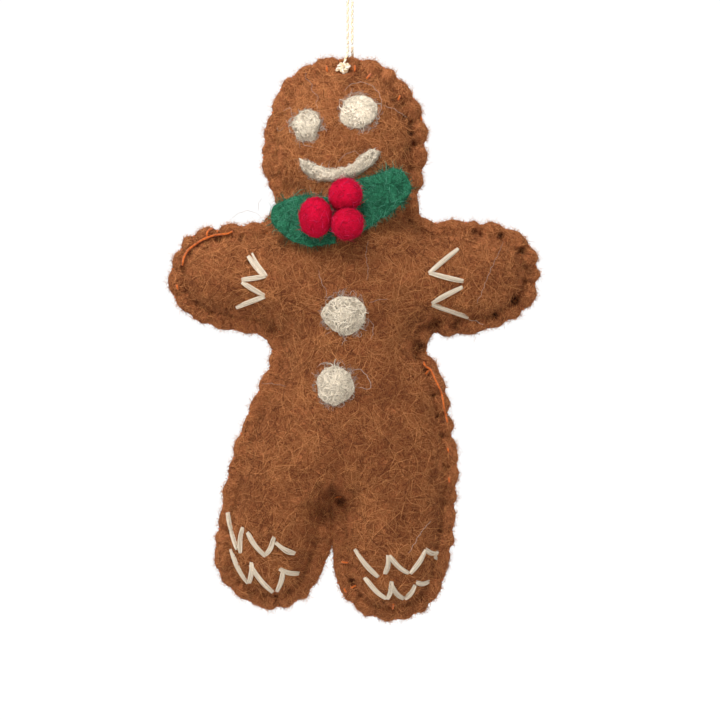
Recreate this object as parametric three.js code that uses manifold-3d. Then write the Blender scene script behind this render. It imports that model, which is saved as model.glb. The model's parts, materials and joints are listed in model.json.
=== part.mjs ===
// A stuffed felt gingerbread figure for a christmas tree, hung on a thread loop.
// Millimetres, +Z up, the face towards -Y, +X to the right as one looks at the face.
// The origin is the inside of the loop's top, where a twig or a hook bears.
import * as THREE from 'three';
import { mergeVertices } from 'three/addons/utils/BufferGeometryUtils.js';
import Module from 'manifold-3d';

const wasm = await Module();
wasm.setup();

// The figure
const figureHeight = 127;
const armSpan = 84.2;
const bodyDepth = 26;
const feltThickness = 2.6;
const panelGap = 0.3;
const seatGap = 0.3;
const stuffingGap = 0.5;
const wadGap = 0.6;
const cutOverrun = 20;

// The seam: blanket stitches through a hole each, with a lobe of felt between two stitches
const stitchPitch = 5.3;
const seamInset = 3.0;
const stitchHole = 1.1;
const lobeRise = 0.45;
const seamShoulder = 1.7;
const seamThreadDiameter = 0.6;
const threadClearance = 0.2;
const spineLead = 0.9;
const seamSampling = 0.5;
const pinchShare = 0.7;
const lobeEdgeShare = 0.8;
const softnessShare = 0.08;
const slopeStep = 0.2;
const slopeReach = 0.8;
const stretchLimit = 1.35;
const ringShares = [0.4, 0.75];
const wadRingShare = 0.12;
const bendSag = 0.25;
const crestShares = [1 / 3, 2 / 3];
const edgeDivisionCount = 40;
const weldDistance = 1e-5;
const threadSideCount = 4;

// The hanging thread
const loopHeight = 55;
const loopWidth = 11;
const loopOpenLength = 28;
const loopNeckLength = 6;
const strandDiameter = 0.65;
const strandSpacing = 1.0;
const pivotRise = 3.2;
const hangOffset = -0.45;
const eyeDepth = 1.35;
const eyeHole = 1.0;
const eyeStandoff = 0.3;
const eyeShoulderRise = 1.4;
const knotDiameter = 2.5;
const knotDrop = 1.6;
const knotOffset = -0.9;
const eyeFlareShare = 0.6;
const eyeBendShare = 0.75;
const eyeHoleSideCount = 8;
const strandSideCount = 6;
const loopStepCount = 36;
const strandStepCount = 4;
const eyeStepCount = 32;
const knotSideCount = 10;
const knotRowCount = 7;

// Needle-felted wool: width, height, then the crown above the rim
const woolCrown = 1.3;
const woolRim = 0.5;
const woolWobbleShare = 0.05;
const eyeLeftSize = [6.6, 7.7];
const eyeRightSize = [8.8, 8.1];
const buttonUpperSize = [10.8, 9.7];
const buttonLowerSize = [9.4, 9.5];
const tuftSideCount = 14;
const tuftLobeCount = 3;
const tuftTurns = { eyeLeft: 0, eyeRight: 1, buttonUpper: 2, buttonLower: 3 };
const tuftRingShares = [1, 0.85, 0.6, 0.3];
const smileThickness = 4.3;
const smileCrown = 0.9;
const smileStepCount = 10;
const smileRingShares = [1, 0.6, 0.2];
const smileTipShares = [0.14, 1.5];
const smileEndShares = [0.62, 3];

// Leaves, berries and floss
const leafThickness = 2.0;
const leafLeftWidth = 10.4;
const leafRightWidth = 9.6;
const leafCup = 0.5;
const leafStepCount = 8;
const leafRingShares = [1, 0.55, 0.12];
const leafRootShares = [0.75, 1];
const leafTipShares = [0.5, 2.4];
const berryTopDiameter = 7.5;
const berryLeftDiameter = 8.3;
const berryLowerDiameter = 7.4;
const berrySink = 0.6;
const berryStack = 1.3;
const berrySideCount = 14;
const berryRowCount = 10;
const flossWidth = 1.45;
const flossThickness = 0.8;
const flossGap = 0.15;
const flossSideCount = 5;
const flossStepShares = [0, 0.25, 0.5, 0.75, 1];

const halfSpan = armSpan / 2;
const headTop = -loopHeight;
const threadRadius = seamThreadDiameter / 2;
const strandRadius = strandDiameter / 2;
const pivotHeight = headTop + pivotRise;
const stemTop = -(loopOpenLength + loopNeckLength);

// Places on the figure: x as a share of half the arm span, down as a share of the height.
const place = ([xShare, downShare]) => ({
  x: hangOffset + xShare * halfSpan,
  z: headTop - downShare * figureHeight,
});

// Spine points, on which the rings of the stuffed shell close
const spineShares = {
  crown: [-0.02, 0.105],
  face: [-0.02, 0.185],
  neck: [-0.01, 0.275],
  chest: [-0.01, 0.375],
  shoulderLeft: [-0.33, 0.385],
  forearmLeft: [-0.58, 0.385],
  handLeft: [-0.77, 0.378],
  shoulderRight: [0.31, 0.38],
  forearmRight: [0.57, 0.382],
  handRight: [0.81, 0.373],
  belly: [-0.01, 0.47],
  waist: [-0.01, 0.57],
  hips: [-0.03, 0.66],
  thighLeft: [-0.36, 0.765],
  shinLeft: [-0.41, 0.85],
  footLeft: [-0.43, 0.9],
  thighRight: [0.25, 0.765],
  shinRight: [0.26, 0.86],
  footRight: [0.25, 0.915],
};

// The cut-out's edge, once round from the top of the head: x share, down share, the spine point that it faces
const outlineShares = [
  [0.0, 0.0, 'crown'],
  [-0.175, 0.006, 'crown'],
  [-0.326, 0.039, 'crown'],
  [-0.418, 0.098, 'crown'],
  [-0.454, 0.165, 'face'],
  [-0.439, 0.216, 'neck'],
  [-0.389, 0.251, 'neck'],
  [-0.402, 0.279, 'chest'],
  [-0.503, 0.291, 'shoulderLeft'],
  [-0.683, 0.297, 'forearmLeft'],
  [-0.865, 0.32, 'handLeft'],
  [-0.936, 0.374, 'handLeft'],
  [-0.909, 0.428, 'handLeft'],
  [-0.78, 0.468, 'forearmLeft'],
  [-0.594, 0.484, 'shoulderLeft'],
  [-0.444, 0.494, 'chest'],
  [-0.409, 0.517, 'belly'],
  [-0.473, 0.573, 'waist'],
  [-0.563, 0.643, 'hips'],
  [-0.634, 0.724, 'thighLeft'],
  [-0.669, 0.789, 'thighLeft'],
  [-0.709, 0.855, 'shinLeft'],
  [-0.672, 0.927, 'footLeft'],
  [-0.536, 0.967, 'footLeft'],
  [-0.368, 0.977, 'footLeft'],
  [-0.21, 0.948, 'footLeft'],
  [-0.135, 0.896, 'shinLeft'],
  [-0.117, 0.855, 'shinLeft'],
  [-0.119, 0.82, 'thighLeft'],
  [-0.136, 0.795, 'thighLeft'],
  [-0.092, 0.772, 'hips'],
  [-0.048, 0.795, 'thighRight'],
  [-0.067, 0.82, 'thighRight'],
  [-0.069, 0.855, 'shinRight'],
  [-0.06, 0.91, 'shinRight'],
  [-0.032, 0.948, 'footRight'],
  [0.084, 0.987, 'footRight'],
  [0.271, 0.997, 'footRight'],
  [0.448, 0.982, 'footRight'],
  [0.538, 0.931, 'footRight'],
  [0.569, 0.86, 'shinRight'],
  [0.574, 0.79, 'thighRight'],
  [0.584, 0.72, 'thighRight'],
  [0.549, 0.639, 'hips'],
  [0.478, 0.563, 'waist'],
  [0.413, 0.516, 'belly'],
  [0.429, 0.495, 'chest'],
  [0.603, 0.483, 'shoulderRight'],
  [0.805, 0.458, 'forearmRight'],
  [0.967, 0.419, 'handRight'],
  [1.011, 0.369, 'handRight'],
  [0.94, 0.322, 'handRight'],
  [0.793, 0.292, 'forearmRight'],
  [0.581, 0.283, 'shoulderRight'],
  [0.423, 0.282, 'chest'],
  [0.374, 0.265, 'neck'],
  [0.389, 0.226, 'neck'],
  [0.419, 0.165, 'face'],
  [0.414, 0.114, 'crown'],
  [0.341, 0.055, 'crown'],
  [0.196, 0.013, 'crown'],
];

// Where the wads of stuffing meet, as shares down the height or across half the span
const neckCutShare = 0.262;
const armpitCutShare = 0.507;
const hipCutShare = 0.735;
const shoulderCutLeftShare = -0.43;
const shoulderCutRightShare = 0.41;
const crotchCutShare = -0.095;

// Decorations: places on the figure
const eyeLeftShare = [-0.227, 0.1185];
const eyeRightShare = [0.061, 0.0945];
const buttonUpperShare = [-0.019, 0.456];
const buttonLowerShare = [-0.07, 0.58];
const smileShares = [
  [-0.263, 0.177], [-0.2, 0.199], [-0.118, 0.209],
  [-0.02, 0.206], [0.075, 0.191], [0.15, 0.168],
];
const leafLeftShares = [[-0.05, 0.288], [-0.23, 0.283], [-0.34, 0.277], [-0.405, 0.27]];
const leafRightShares = [[0.0, 0.269], [0.13, 0.246], [0.24, 0.228], [0.325, 0.215]];
const leafDroopShare = 0.25;
const berryTopShare = [-0.0145, 0.242];
const berryLeftShare = [-0.174, 0.282];
const berryLowerShare = [-0.004, 0.2935];
const wristLeftShares = [[-0.527, 0.348], [-0.446, 0.387], [-0.567, 0.394], [-0.452, 0.421], [-0.597, 0.444]];
const wristRightShares = [[0.583, 0.34], [0.443, 0.3815], [0.608, 0.395], [0.457, 0.434], [0.637, 0.46]];
const footLeftUpperShares = [
  [-0.645, 0.811], [-0.594, 0.872], [-0.565, 0.836], [-0.47, 0.88], [-0.41, 0.855], [-0.3, 0.88],
];
const footLeftLowerShares = [
  [-0.624, 0.876], [-0.552, 0.927], [-0.524, 0.897], [-0.406, 0.947], [-0.372, 0.912], [-0.27, 0.917],
];
const footRightUpperShares = [
  [0.043, 0.875], [0.15, 0.921], [0.215, 0.885], [0.33, 0.917], [0.405, 0.873], [0.475, 0.883],
];
const footRightLowerShares = [
  [0.094, 0.925], [0.193, 0.959], [0.235, 0.932], [0.312, 0.96], [0.37, 0.933], [0.44, 0.932],
];

// The edge as one closed curve, measured along its length
const edgeCurve = new THREE.CatmullRomCurve3(
  outlineShares.map((row) => {
    const p = place(row);
    return new THREE.Vector3(p.x, 0, p.z);
  }),
  true,
  'centripetal',
);
edgeCurve.arcLengthDivisions = edgeDivisionCount * outlineShares.length;
const edgeLength = edgeCurve.getLength();
const stitchCount = Math.round(edgeLength / stitchPitch);
const pitch = edgeLength / stitchCount;

// A point of the edge moved in across the felt, and then aside, square to that; along is measured round the
// edge
// from the top of the head.
function edgePoint(along, inset, aside = 0) {
  const u = THREE.MathUtils.euclideanModulo(along / edgeLength, 1);
  const p = edgeCurve.getPointAt(u);
  const t = edgeCurve.getTangentAt(u);
  return { x: p.x - outX(t) * inset + t.x * aside, z: p.z - outZ(t) * inset + t.z * aside };
}

// The edge runs anticlockwise as one looks at the face, so the outside lies on the right of its direction.
const outX = (t) => t.z;
const outZ = (t) => -t.x;

// How far the felt's line lies inside a straight line between two places on it, all at the same inset
function sagBetween(fromAlong, midAlong, toAlong, inset) {
  const [from, mid, to] = [fromAlong, midAlong, toAlong].map((along) => edgePoint(along, inset));
  const dx = to.x - from.x;
  const dz = to.z - from.z;
  return (dx * (mid.z - from.z) - dz * (mid.x - from.x)) / Math.hypot(dx, dz);
}

// The line where the felt starts to swell, as points with their outward directions and the length that each
// stands for
function makeSwellLine() {
  const count = Math.round(edgeLength / seamSampling);
  const inset = seamInset + stitchHole / 2;
  const points = [];
  for (let i = 0; i < count; i += 1) {
    points.push(edgePoint((i / count) * edgeLength, inset));
  }
  return points.map((p, i) => {
    const next = points[(i + 1) % count];
    const dx = next.x - p.x;
    const dz = next.z - p.z;
    return { x: (p.x + next.x) / 2, z: (p.z + next.z) / 2, outwardX: dz, outwardZ: -dx };
  });
}
const swellLine = makeSwellLine();

// The room around a point inside the swell line: a mean of its distances to the line in all directions.
function roomAt(x, z) {
  let sum = 0;
  for (const q of swellLine) {
    const dx = q.x - x;
    const dz = q.z - z;
    const square = dx * dx + dz * dz;
    sum += (q.outwardX * dx + q.outwardZ * dz) / (square * square);
  }
  return sum > 0 ? Math.sqrt(Math.PI / 2 / sum) : 0;
}
const belly = place(spineShares.belly);
const bellyRoom = roomAt(belly.x, belly.z);

// How far the felt's inner face stands out from the seam plane: nothing at the swell line, most on the belly
const swellDepth = bodyDepth / 2 - feltThickness - panelGap / 2;
function innerDepth(x, z) {
  const room = roomAt(x, z) / bellyRoom;
  const rise = Math.sqrt(room + softnessShare) - Math.sqrt(softnessShare);
  return panelGap / 2 + (swellDepth * rise) / (Math.sqrt(1 + softnessShare) - Math.sqrt(softnessShare));
}

// The outer face, one felt thickness further out, measured square to the slope up to a limit
function outerDepth(x, z) {
  const slopeX = (innerDepth(x + slopeStep, z) - innerDepth(x - slopeStep, z)) / (2 * slopeStep);
  const slopeZ = (innerDepth(x, z + slopeStep) - innerDepth(x, z - slopeStep)) / (2 * slopeStep);
  const stretch = Math.min(Math.hypot(1, slopeX, slopeZ), stretchLimit);
  return innerDepth(x, z) + feltThickness * stretch;
}

// A mesh under construction: points are added once and named by their number in the triangles.
class Body {
  constructor() {
    this.points = [];
    this.triangles = [];
  }

  add(x, y, z) {
    this.points.push(x, y, z);
    return this.points.length / 3 - 1;
  }

  triangle(a, b, c) {
    if (a !== b && b !== c && c !== a) this.triangles.push(a, b, c);
  }

  quad(a, b, c, d) {
    this.triangle(a, b, c);
    this.triangle(a, c, d);
  }

  // A strip between two closed rings of equal count, the first one outside
  band(outer, inner) {
    outer.forEach((point, i) => {
      const j = (i + 1) % outer.length;
      this.quad(point, outer[j], inner[j], inner[i]);
    });
  }

  geometry() {
    const result = new THREE.BufferGeometry();
    result.setAttribute('position', new THREE.Float32BufferAttribute(this.points, 3));
    result.setIndex(this.triangles);
    return result;
  }
}

// Turns a mesh inside out and mirrors it across the seam plane, which makes a back from a front.
function mirrored(geometry) {
  const result = geometry.clone();
  const position = result.getAttribute('position');
  for (let i = 0; i < position.count; i += 1) position.setY(i, -position.getY(i));
  const index = result.getIndex();
  for (let i = 0; i < index.count; i += 3) {
    const b = index.getX(i + 1);
    index.setX(i + 1, index.getX(i + 2));
    index.setX(i + 2, b);
  }
  return result;
}

// Closed meshes to solids and back, for cuts and joins
function toSolid(geometry) {
  const bare = geometry.clone();
  bare.deleteAttribute('normal');
  bare.deleteAttribute('uv');
  const merged = mergeVertices(bare, weldDistance);
  return new wasm.Manifold(new wasm.Mesh({
    numProp: 3,
    vertProperties: new Float32Array(merged.getAttribute('position').array),
    triVerts: new Uint32Array(merged.getIndex().array),
  }));
}

function toGeometry(solid) {
  const mesh = solid.getMesh();
  const result = new THREE.BufferGeometry();
  result.setAttribute('position', new THREE.Float32BufferAttribute(mesh.vertProperties, 3));
  result.setIndex(new THREE.Uint32BufferAttribute(mesh.triVerts, 1));
  return result;
}

// The stitches: the columns of the seam mesh at hole i, and in the lobe that follows it
const holeAlong = (i) => (i + 0.5) * pitch;
const lobeAlong = (i, share) => holeAlong(i) + stitchHole / 2 + share * (pitch - stitchHole);
const outerRim = seamInset - stitchHole / 2;
const innerRim = seamInset + stitchHole / 2;

// The spine point that the edge faces at a length along it: the table row whose edge point is nearest
const rowAlong = outlineShares.map((row, k) => {
  const lengths = edgeCurve.getLengths();
  return lengths[Math.round((k / outlineShares.length) * edgeCurve.arcLengthDivisions)];
});
function nearestRow(along) {
  const turned = THREE.MathUtils.euclideanModulo(along, edgeLength);
  let best = 0;
  let bestGap = edgeLength;
  rowAlong.forEach((at, k) => {
    const gap = Math.abs(turned - at);
    const wrapped = Math.min(gap, edgeLength - gap);
    if (wrapped < bestGap) {
      bestGap = wrapped;
      best = k;
    }
  });
  return best;
}

// The spine points that lie between two neighbours round the edge, in order
function spineWalk(fromRow, toRow) {
  const count = outlineShares.length;
  const walk = [outlineShares[fromRow][2]];
  for (let k = fromRow; k !== toRow; k = (k + 1) % count) {
    const next = outlineShares[(k + 1) % count][2];
    if (next !== walk[walk.length - 1]) walk.push(next);
  }
  return walk;
}

// The stations of the swelling rings: the middle of each lobe, and the hole after it too where the edge bends
// inwards so sharply that a straight line from lobe to lobe would cut that hole.
const ringInset = innerRim + seamShoulder;
function makeStations() {
  const found = [];
  for (let i = 0; i < stitchCount; i += 1) {
    const lobe = lobeAlong(i, 0.5);
    const hole = holeAlong(i + 1);
    found.push({ along: lobe, lobe: i, row: nearestRow(lobe) });
    if (sagBetween(lobe, hole, lobeAlong(i + 1, 0.5), ringInset) > bendSag) {
      found.push({ along: hole, bend: i, row: nearestRow(hole) });
    }
  }
  return found;
}
const stations = makeStations();

// A point on the way from a station, just inside the seam, to the spine point that the edge faces there
function towardsSpine(station, share) {
  const start = edgePoint(station.along, ringInset);
  const aim = place(spineShares[outlineShares[station.row][2]]);
  return { x: THREE.MathUtils.lerp(start.x, aim.x, share), z: THREE.MathUtils.lerp(start.z, aim.z, share) };
}

// One ring of a swelling skin; depthAt gives its distance from the seam plane.
function swellRing(body, depthAt, share) {
  return stations.map((station) => {
    const p = towardsSpine(station, share);
    return body.add(p.x, -depthAt(p.x, p.z), p.z);
  });
}

// One swelling skin, facing -Y: rings at the same shares of the way in from the first ring, closed on the
// spine
function addSwell(body, firstRing, depthAt) {
  let ring = firstRing;
  for (const share of ringShares) {
    const next = swellRing(body, depthAt, share);
    body.band(ring, next);
    ring = next;
  }
  const spine = {};
  for (const [name, shares] of Object.entries(spineShares)) {
    const p = place(shares);
    spine[name] = body.add(p.x, -depthAt(p.x, p.z), p.z);
  }
  ring.forEach((point, i) => {
    const j = (i + 1) % ring.length;
    const walk = spineWalk(stations[i].row, stations[j].row);
    body.triangle(point, ring[j], spine[walk[0]]);
    for (let k = 1; k < walk.length; k += 1) {
      body.triangle(ring[j], spine[walk[k]], spine[walk[k - 1]]);
    }
  });
}

// The points of the flat seam on one face: the lobed edge, the four corners of each stitch hole, and the
// middle of
// a lobe that lies where the edge bends inwards
function seamPoints(body, depthOf) {
  const columns = [];
  const at = (along, inset, depth, aside = 0) => {
    const p = edgePoint(along, inset, aside);
    return body.add(p.x, -depth, p.z);
  };
  const sides = [-stitchHole / 2, stitchHole / 2];
  for (let i = 0; i < stitchCount; i += 1) {
    const hole = holeAlong(i);
    const crests = crestShares.map((share) => lobeAlong(i, share));
    const lobe = lobeAlong(i, 0.5);
    const bent = sagBetween(lobeAlong(i, 0), lobe, lobeAlong(i, 1), innerRim) > bendSag;
    columns.push({
      edge: [
        ...sides.map((side) => at(hole, lobeRise, depthOf.pinch, side)),
        ...crests.map((along) => at(along, -lobeRise, depthOf.lobe)),
      ],
      outer: sides.map((side) => at(hole, outerRim, depthOf.pinch, side)),
      inner: sides.map((side) => at(hole, innerRim, depthOf.pinch, side)),
      middle: bent ? at(lobe, innerRim, depthOf.pinch) : undefined,
    });
  }
  return columns;
}

// The faces of the flat seam between the lobed edge and the first swelling ring, facing -Y
function addSeamFace(body, columns, ring) {
  const count = columns.length;
  const lobes = ring.filter((_, k) => stations[k].lobe !== undefined);
  columns.forEach((here, i) => {
    const next = columns[(i + 1) % count];
    const bend = ring[stations.findIndex((station) => station.bend === i)];
    const [a, b, c, d] = here.edge;
    body.quad(a, b, here.outer[1], here.outer[0]);
    body.triangle(b, c, here.outer[1]);
    body.triangle(c, next.outer[0], here.outer[1]);
    body.triangle(c, d, next.outer[0]);
    body.triangle(d, next.edge[0], next.outer[0]);
    const inward = [here.inner[1], here.middle, next.inner[0]].filter((point) => point !== undefined);
    body.triangle(here.outer[1], next.outer[0], next.inner[0]);
    for (let k = 1; k < inward.length; k += 1) {
      body.triangle(here.outer[1], inward[k], inward[k - 1]);
      body.triangle(inward[k - 1], inward[k], lobes[i]);
    }
    if (bend === undefined) {
      body.quad(next.inner[0], next.inner[1], lobes[(i + 1) % count], lobes[i]);
    } else {
      body.triangle(next.inner[0], next.inner[1], bend);
      body.triangle(next.inner[1], lobes[(i + 1) % count], bend);
      body.triangle(next.inner[0], bend, lobes[i]);
    }
  });
}

// The cut faces of the felt: round the lobed edge, and inside each stitch hole
function addSeamWalls(body, front, back) {
  const count = front.length;
  front.forEach((face, i) => {
    const under = back[i];
    const faceEdge = [...face.edge, front[(i + 1) % count].edge[0]];
    const underEdge = [...under.edge, back[(i + 1) % count].edge[0]];
    for (let k = 0; k < 4; k += 1) {
      body.quad(faceEdge[k], underEdge[k], underEdge[k + 1], faceEdge[k + 1]);
    }
    const faceHole = [face.outer[0], face.outer[1], face.inner[1], face.inner[0]];
    const underHole = [under.outer[0], under.outer[1], under.inner[1], under.inner[0]];
    for (let k = 0; k < 4; k += 1) {
      const m = (k + 1) % 4;
      body.quad(faceHole[k], faceHole[m], underHole[m], underHole[k]);
    }
  });
}

// The front cut-out: an outer and an inner skin of felt, joined round the edge and in every hole
function makePanel() {
  const outside = new Body();
  const outerColumns = seamPoints(outside, {
    pinch: feltThickness * pinchShare,
    lobe: feltThickness * lobeEdgeShare,
  });
  const outerRing = swellRing(outside, outerDepth, 0);
  addSeamFace(outside, outerColumns, outerRing);
  addSwell(outside, outerRing, outerDepth);

  // The inner skin is made facing -Y like the outer one, then turned over.
  const outerTriangles = outside.triangles;
  outside.triangles = [];
  const innerColumns = seamPoints(outside, { pinch: panelGap / 2, lobe: panelGap / 2 });
  const innerRing = swellRing(outside, innerDepth, 0);
  addSeamFace(outside, innerColumns, innerRing);
  addSwell(outside, innerRing, innerDepth);
  const innerTriangles = [];
  for (let i = 0; i < outside.triangles.length; i += 3) {
    innerTriangles.push(outside.triangles[i], outside.triangles[i + 2], outside.triangles[i + 1]);
  }
  outside.triangles = [...outerTriangles, ...innerTriangles];
  addSeamWalls(outside, outerColumns, innerColumns);
  return outside.geometry();
}

// The hole at the top of the head for the thread's eye
function eyeHoleCutter() {
  const cutter = new THREE.CylinderGeometry(eyeHole / 2, eyeHole / 2, bodyDepth, eyeHoleSideCount);
  cutter.translate(hangOffset, 0, headTop - eyeDepth);
  return toSolid(cutter);
}

// All the stuffing as one body, before it is cut into wads
function makeStuffing() {
  const half = new Body();
  const wadDepth = (x, z) => Math.max(innerDepth(x, z) - stuffingGap, panelGap);
  const rim = swellRing(half, () => 0, 0);
  const ring = stations.map((station) => {
    const [low, high] = [0, ringShares[0]].map((share) => towardsSpine(station, share));
    const [shallow, deep] = [wadDepth(low.x, low.z), wadDepth(high.x, high.z)];
    const depth = THREE.MathUtils.lerp(shallow, deep, wadRingShare / ringShares[0]);
    const p = towardsSpine(station, wadRingShare);
    return half.add(p.x, -depth, p.z);
  });
  half.band(rim, ring);
  addSwell(half, ring, wadDepth);
  const front = half.geometry();
  const back = mirrored(front);
  const both = new Body();
  const offset = front.getAttribute('position').count;
  both.points = [...front.getAttribute('position').array, ...back.getAttribute('position').array];
  both.triangles = [...front.getIndex().array, ...Array.from(back.getIndex().array, (k) => k + offset)];
  return toSolid(both.geometry());
}

// A block of space between two corners, given as x and z; it reaches through the whole depth.
function block(low, high) {
  const box = new THREE.BoxGeometry(high.x - low.x, bodyDepth, high.z - low.z);
  box.translate((low.x + high.x) / 2, 0, (low.z + high.z) / 2);
  return toSolid(box);
}

// The wads: head, arms and legs are cut off at the torso, which is the largest.
function makeWads() {
  const whole = makeStuffing();
  const half = wadGap / 2;
  const left = place([-1, 0]).x - cutOverrun;
  const right = place([1, 0]).x + cutOverrun;
  const top = headTop + cutOverrun;
  const bottom = headTop - figureHeight - cutOverrun;
  const neck = place([0, neckCutShare]).z;
  const armpit = place([0, armpitCutShare]).z;
  const hip = place([0, hipCutShare]).z;
  const shoulderLeft = place([shoulderCutLeftShare, 0]).x;
  const shoulderRight = place([shoulderCutRightShare, 0]).x;
  const crotch = place([crotchCutShare, 0]).x;
  const chestTop = { x: shoulderRight - half, z: neck - half };
  const chest = block({ x: shoulderLeft + half, z: armpit - wadGap }, chestTop);
  const waist = block({ x: left, z: hip + half }, { x: right, z: armpit });
  const wad = (low, high) => whole.intersect(block(low, high));
  return {
    stuffing_head: wad({ x: left, z: neck + half }, { x: right, z: top }),
    stuffing_torso: whole.intersect(chest.add(waist)),
    stuffing_arm_left: wad({ x: left, z: armpit + half }, { x: shoulderLeft - half, z: neck - half }),
    stuffing_arm_right: wad({ x: shoulderRight + half, z: armpit + half }, { x: right, z: neck - half }),
    stuffing_leg_left: wad({ x: left, z: bottom }, { x: crotch - half, z: hip - half }),
    stuffing_leg_right: wad({ x: crotch + half, z: bottom }, { x: right, z: hip - half }),
  };
}

// A tube through points with flat ends; its section is a polygon, wide across and high along its up.
// upAt gives the up at a point from the up at the point before it.
function tube(path, sides, width, height, firstUp, upAt = (i, up) => up) {
  const body = new Body();
  let lift = firstUp;
  const rings = path.map((point, i) => {
    const before = path[Math.max(i - 1, 0)];
    const after = path[Math.min(i + 1, path.length - 1)];
    const forward = after.clone().sub(before).normalize();
    const side = forward.clone().cross(upAt(i, lift)).normalize();
    lift = side.clone().cross(forward).normalize();
    const ring = [];
    for (let k = 0; k < sides; k += 1) {
      const angle = (2 * Math.PI * (k + 0.5)) / sides;
      const p = point.clone();
      p.addScaledVector(side, (width / 2) * Math.cos(angle));
      p.addScaledVector(lift, (height / 2) * Math.sin(angle));
      ring.push(body.add(p.x, p.y, p.z));
    }
    return ring;
  });
  for (let i = 1; i < rings.length; i += 1) body.band(rings[i], rings[i - 1]);
  const cap = (ring, point, forwards) => {
    const centre = body.add(point.x, point.y, point.z);
    ring.forEach((p, k) => {
      const q = ring[(k + 1) % sides];
      if (forwards) body.triangle(p, q, centre);
      else body.triangle(q, p, centre);
    });
  };
  cap(rings[0], path[0], true);
  cap(rings[rings.length - 1], path[path.length - 1], false);
  return body.geometry();
}

// The seam thread: down each hole, back over the felt's edge, and on to the next hole along the front
const threadLevel = feltThickness * pinchShare + threadClearance + threadRadius;
function makeSeamThread() {
  const level = threadLevel;
  const wrapInset = lobeRise - threadClearance - threadRadius;
  const path = [];
  const go = (along, inset, y) => {
    const p = edgePoint(along, inset);
    path.push(new THREE.Vector3(p.x, y, p.z));
  };
  for (let i = 0; i < stitchCount; i += 1) {
    const along = holeAlong(i);
    go(along, seamInset, -level);
    go(along, seamInset, level);
    go(along, wrapInset, level);
    go(along, wrapInset, -level);
    go(along + spineLead, outerRim, -level);
    const bend = sagBetween(along, lobeAlong(i, 0.5), holeAlong(i + 1), outerRim) > bendSag;
    if (bend || i === stitchCount - 1) go(lobeAlong(i, 0.5), outerRim, -level);
  }
  return tube(path, threadSideCount, seamThreadDiameter, seamThreadDiameter, new THREE.Vector3(1, 0, 0));
}

// A round thread along a curve
function strand(curve, steps) {
  const section = [];
  for (let k = 0; k < strandSideCount; k += 1) {
    const angle = (2 * Math.PI * k) / strandSideCount;
    section.push(new THREE.Vector2(Math.cos(angle), Math.sin(angle)).multiplyScalar(strandRadius));
  }
  const settings = { steps, bevelEnabled: false, extrudePath: curve };
  return new THREE.ExtrudeGeometry(new THREE.Shape(section), settings);
}

// The loop's route on its left half, from the strands up: x as a share of its width, z as a share of its
// open length
const loopRouteShares = [
  [0.1, -0.9], [0.27, -0.66], [0.41, -0.43],
  [0.49, -0.25], [0.46, -0.11], [0.27, -0.02],
];

// The hanging loop: two strands side by side that part into a teardrop and meet at the top
function makeHangingLoop() {
  const foot = strandSpacing / 2;
  const left = [
    [foot, stemTop],
    [foot, -loopOpenLength - loopNeckLength / 2],
    [foot, -loopOpenLength],
    ...loopRouteShares.map(([x, z]) => [x * loopWidth, z * loopOpenLength]),
  ];
  const points = [
    ...left.map(([x, z]) => new THREE.Vector3(-x, 0, z)),
    new THREE.Vector3(0, 0, strandRadius),
    ...left.reverse().map(([x, z]) => new THREE.Vector3(x, 0, z)),
  ];
  return strand(new THREE.CatmullRomCurve3(points), loopStepCount);
}

// One of the two straight strands between the loop and the figure; side is -1 or 1.
function makeStrand(side) {
  const x = (side * strandSpacing) / 2;
  return strand(new THREE.LineCurve3(
    new THREE.Vector3(x, 0, pivotHeight),
    new THREE.Vector3(x, 0, stemTop - seatGap),
  ), strandStepCount);
}

// The thread's eye through both felts, with the knot on its front leg
function makeKnot() {
  const foot = strandSpacing / 2;
  const faceLevel = feltThickness * lobeEdgeShare + eyeStandoff + strandRadius;
  const knotLevel = threadLevel + threadRadius + threadClearance + knotDiameter / 2;
  const shoulder = headTop + eyeShoulderRise;
  const hole = headTop - eyeDepth;
  const start = pivotHeight - seatGap;
  const knot = new THREE.Vector3(knotOffset, -knotLevel, headTop - knotDrop);
  const path = new THREE.CatmullRomCurve3([
    new THREE.Vector3(-foot, 0, start),
    new THREE.Vector3(-foot, -faceLevel * eyeFlareShare, (start + shoulder) / 2),
    new THREE.Vector3(-foot, -faceLevel, shoulder),
    new THREE.Vector3(knot.x, (knot.y - faceLevel) / 2, headTop),
    knot,
    new THREE.Vector3(hangOffset, -faceLevel, hole),
    new THREE.Vector3(hangOffset, -faceLevel * eyeBendShare, hole),
    new THREE.Vector3(hangOffset, 0, hole),
    new THREE.Vector3(hangOffset, faceLevel * eyeBendShare, hole),
    new THREE.Vector3(hangOffset, faceLevel, hole + strandRadius),
    new THREE.Vector3((foot + hangOffset) / 2, faceLevel, headTop),
    new THREE.Vector3(foot, faceLevel, shoulder),
    new THREE.Vector3(foot, faceLevel * eyeFlareShare, (start + shoulder) / 2),
    new THREE.Vector3(foot, 0, start),
  ]);
  const ball = new THREE.SphereGeometry(knotDiameter / 2, knotSideCount, knotRowCount);
  ball.translate(knot.x, knot.y, knot.z);
  return toSolid(strand(path, eyeStepCount)).add(toSolid(ball));
}

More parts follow.
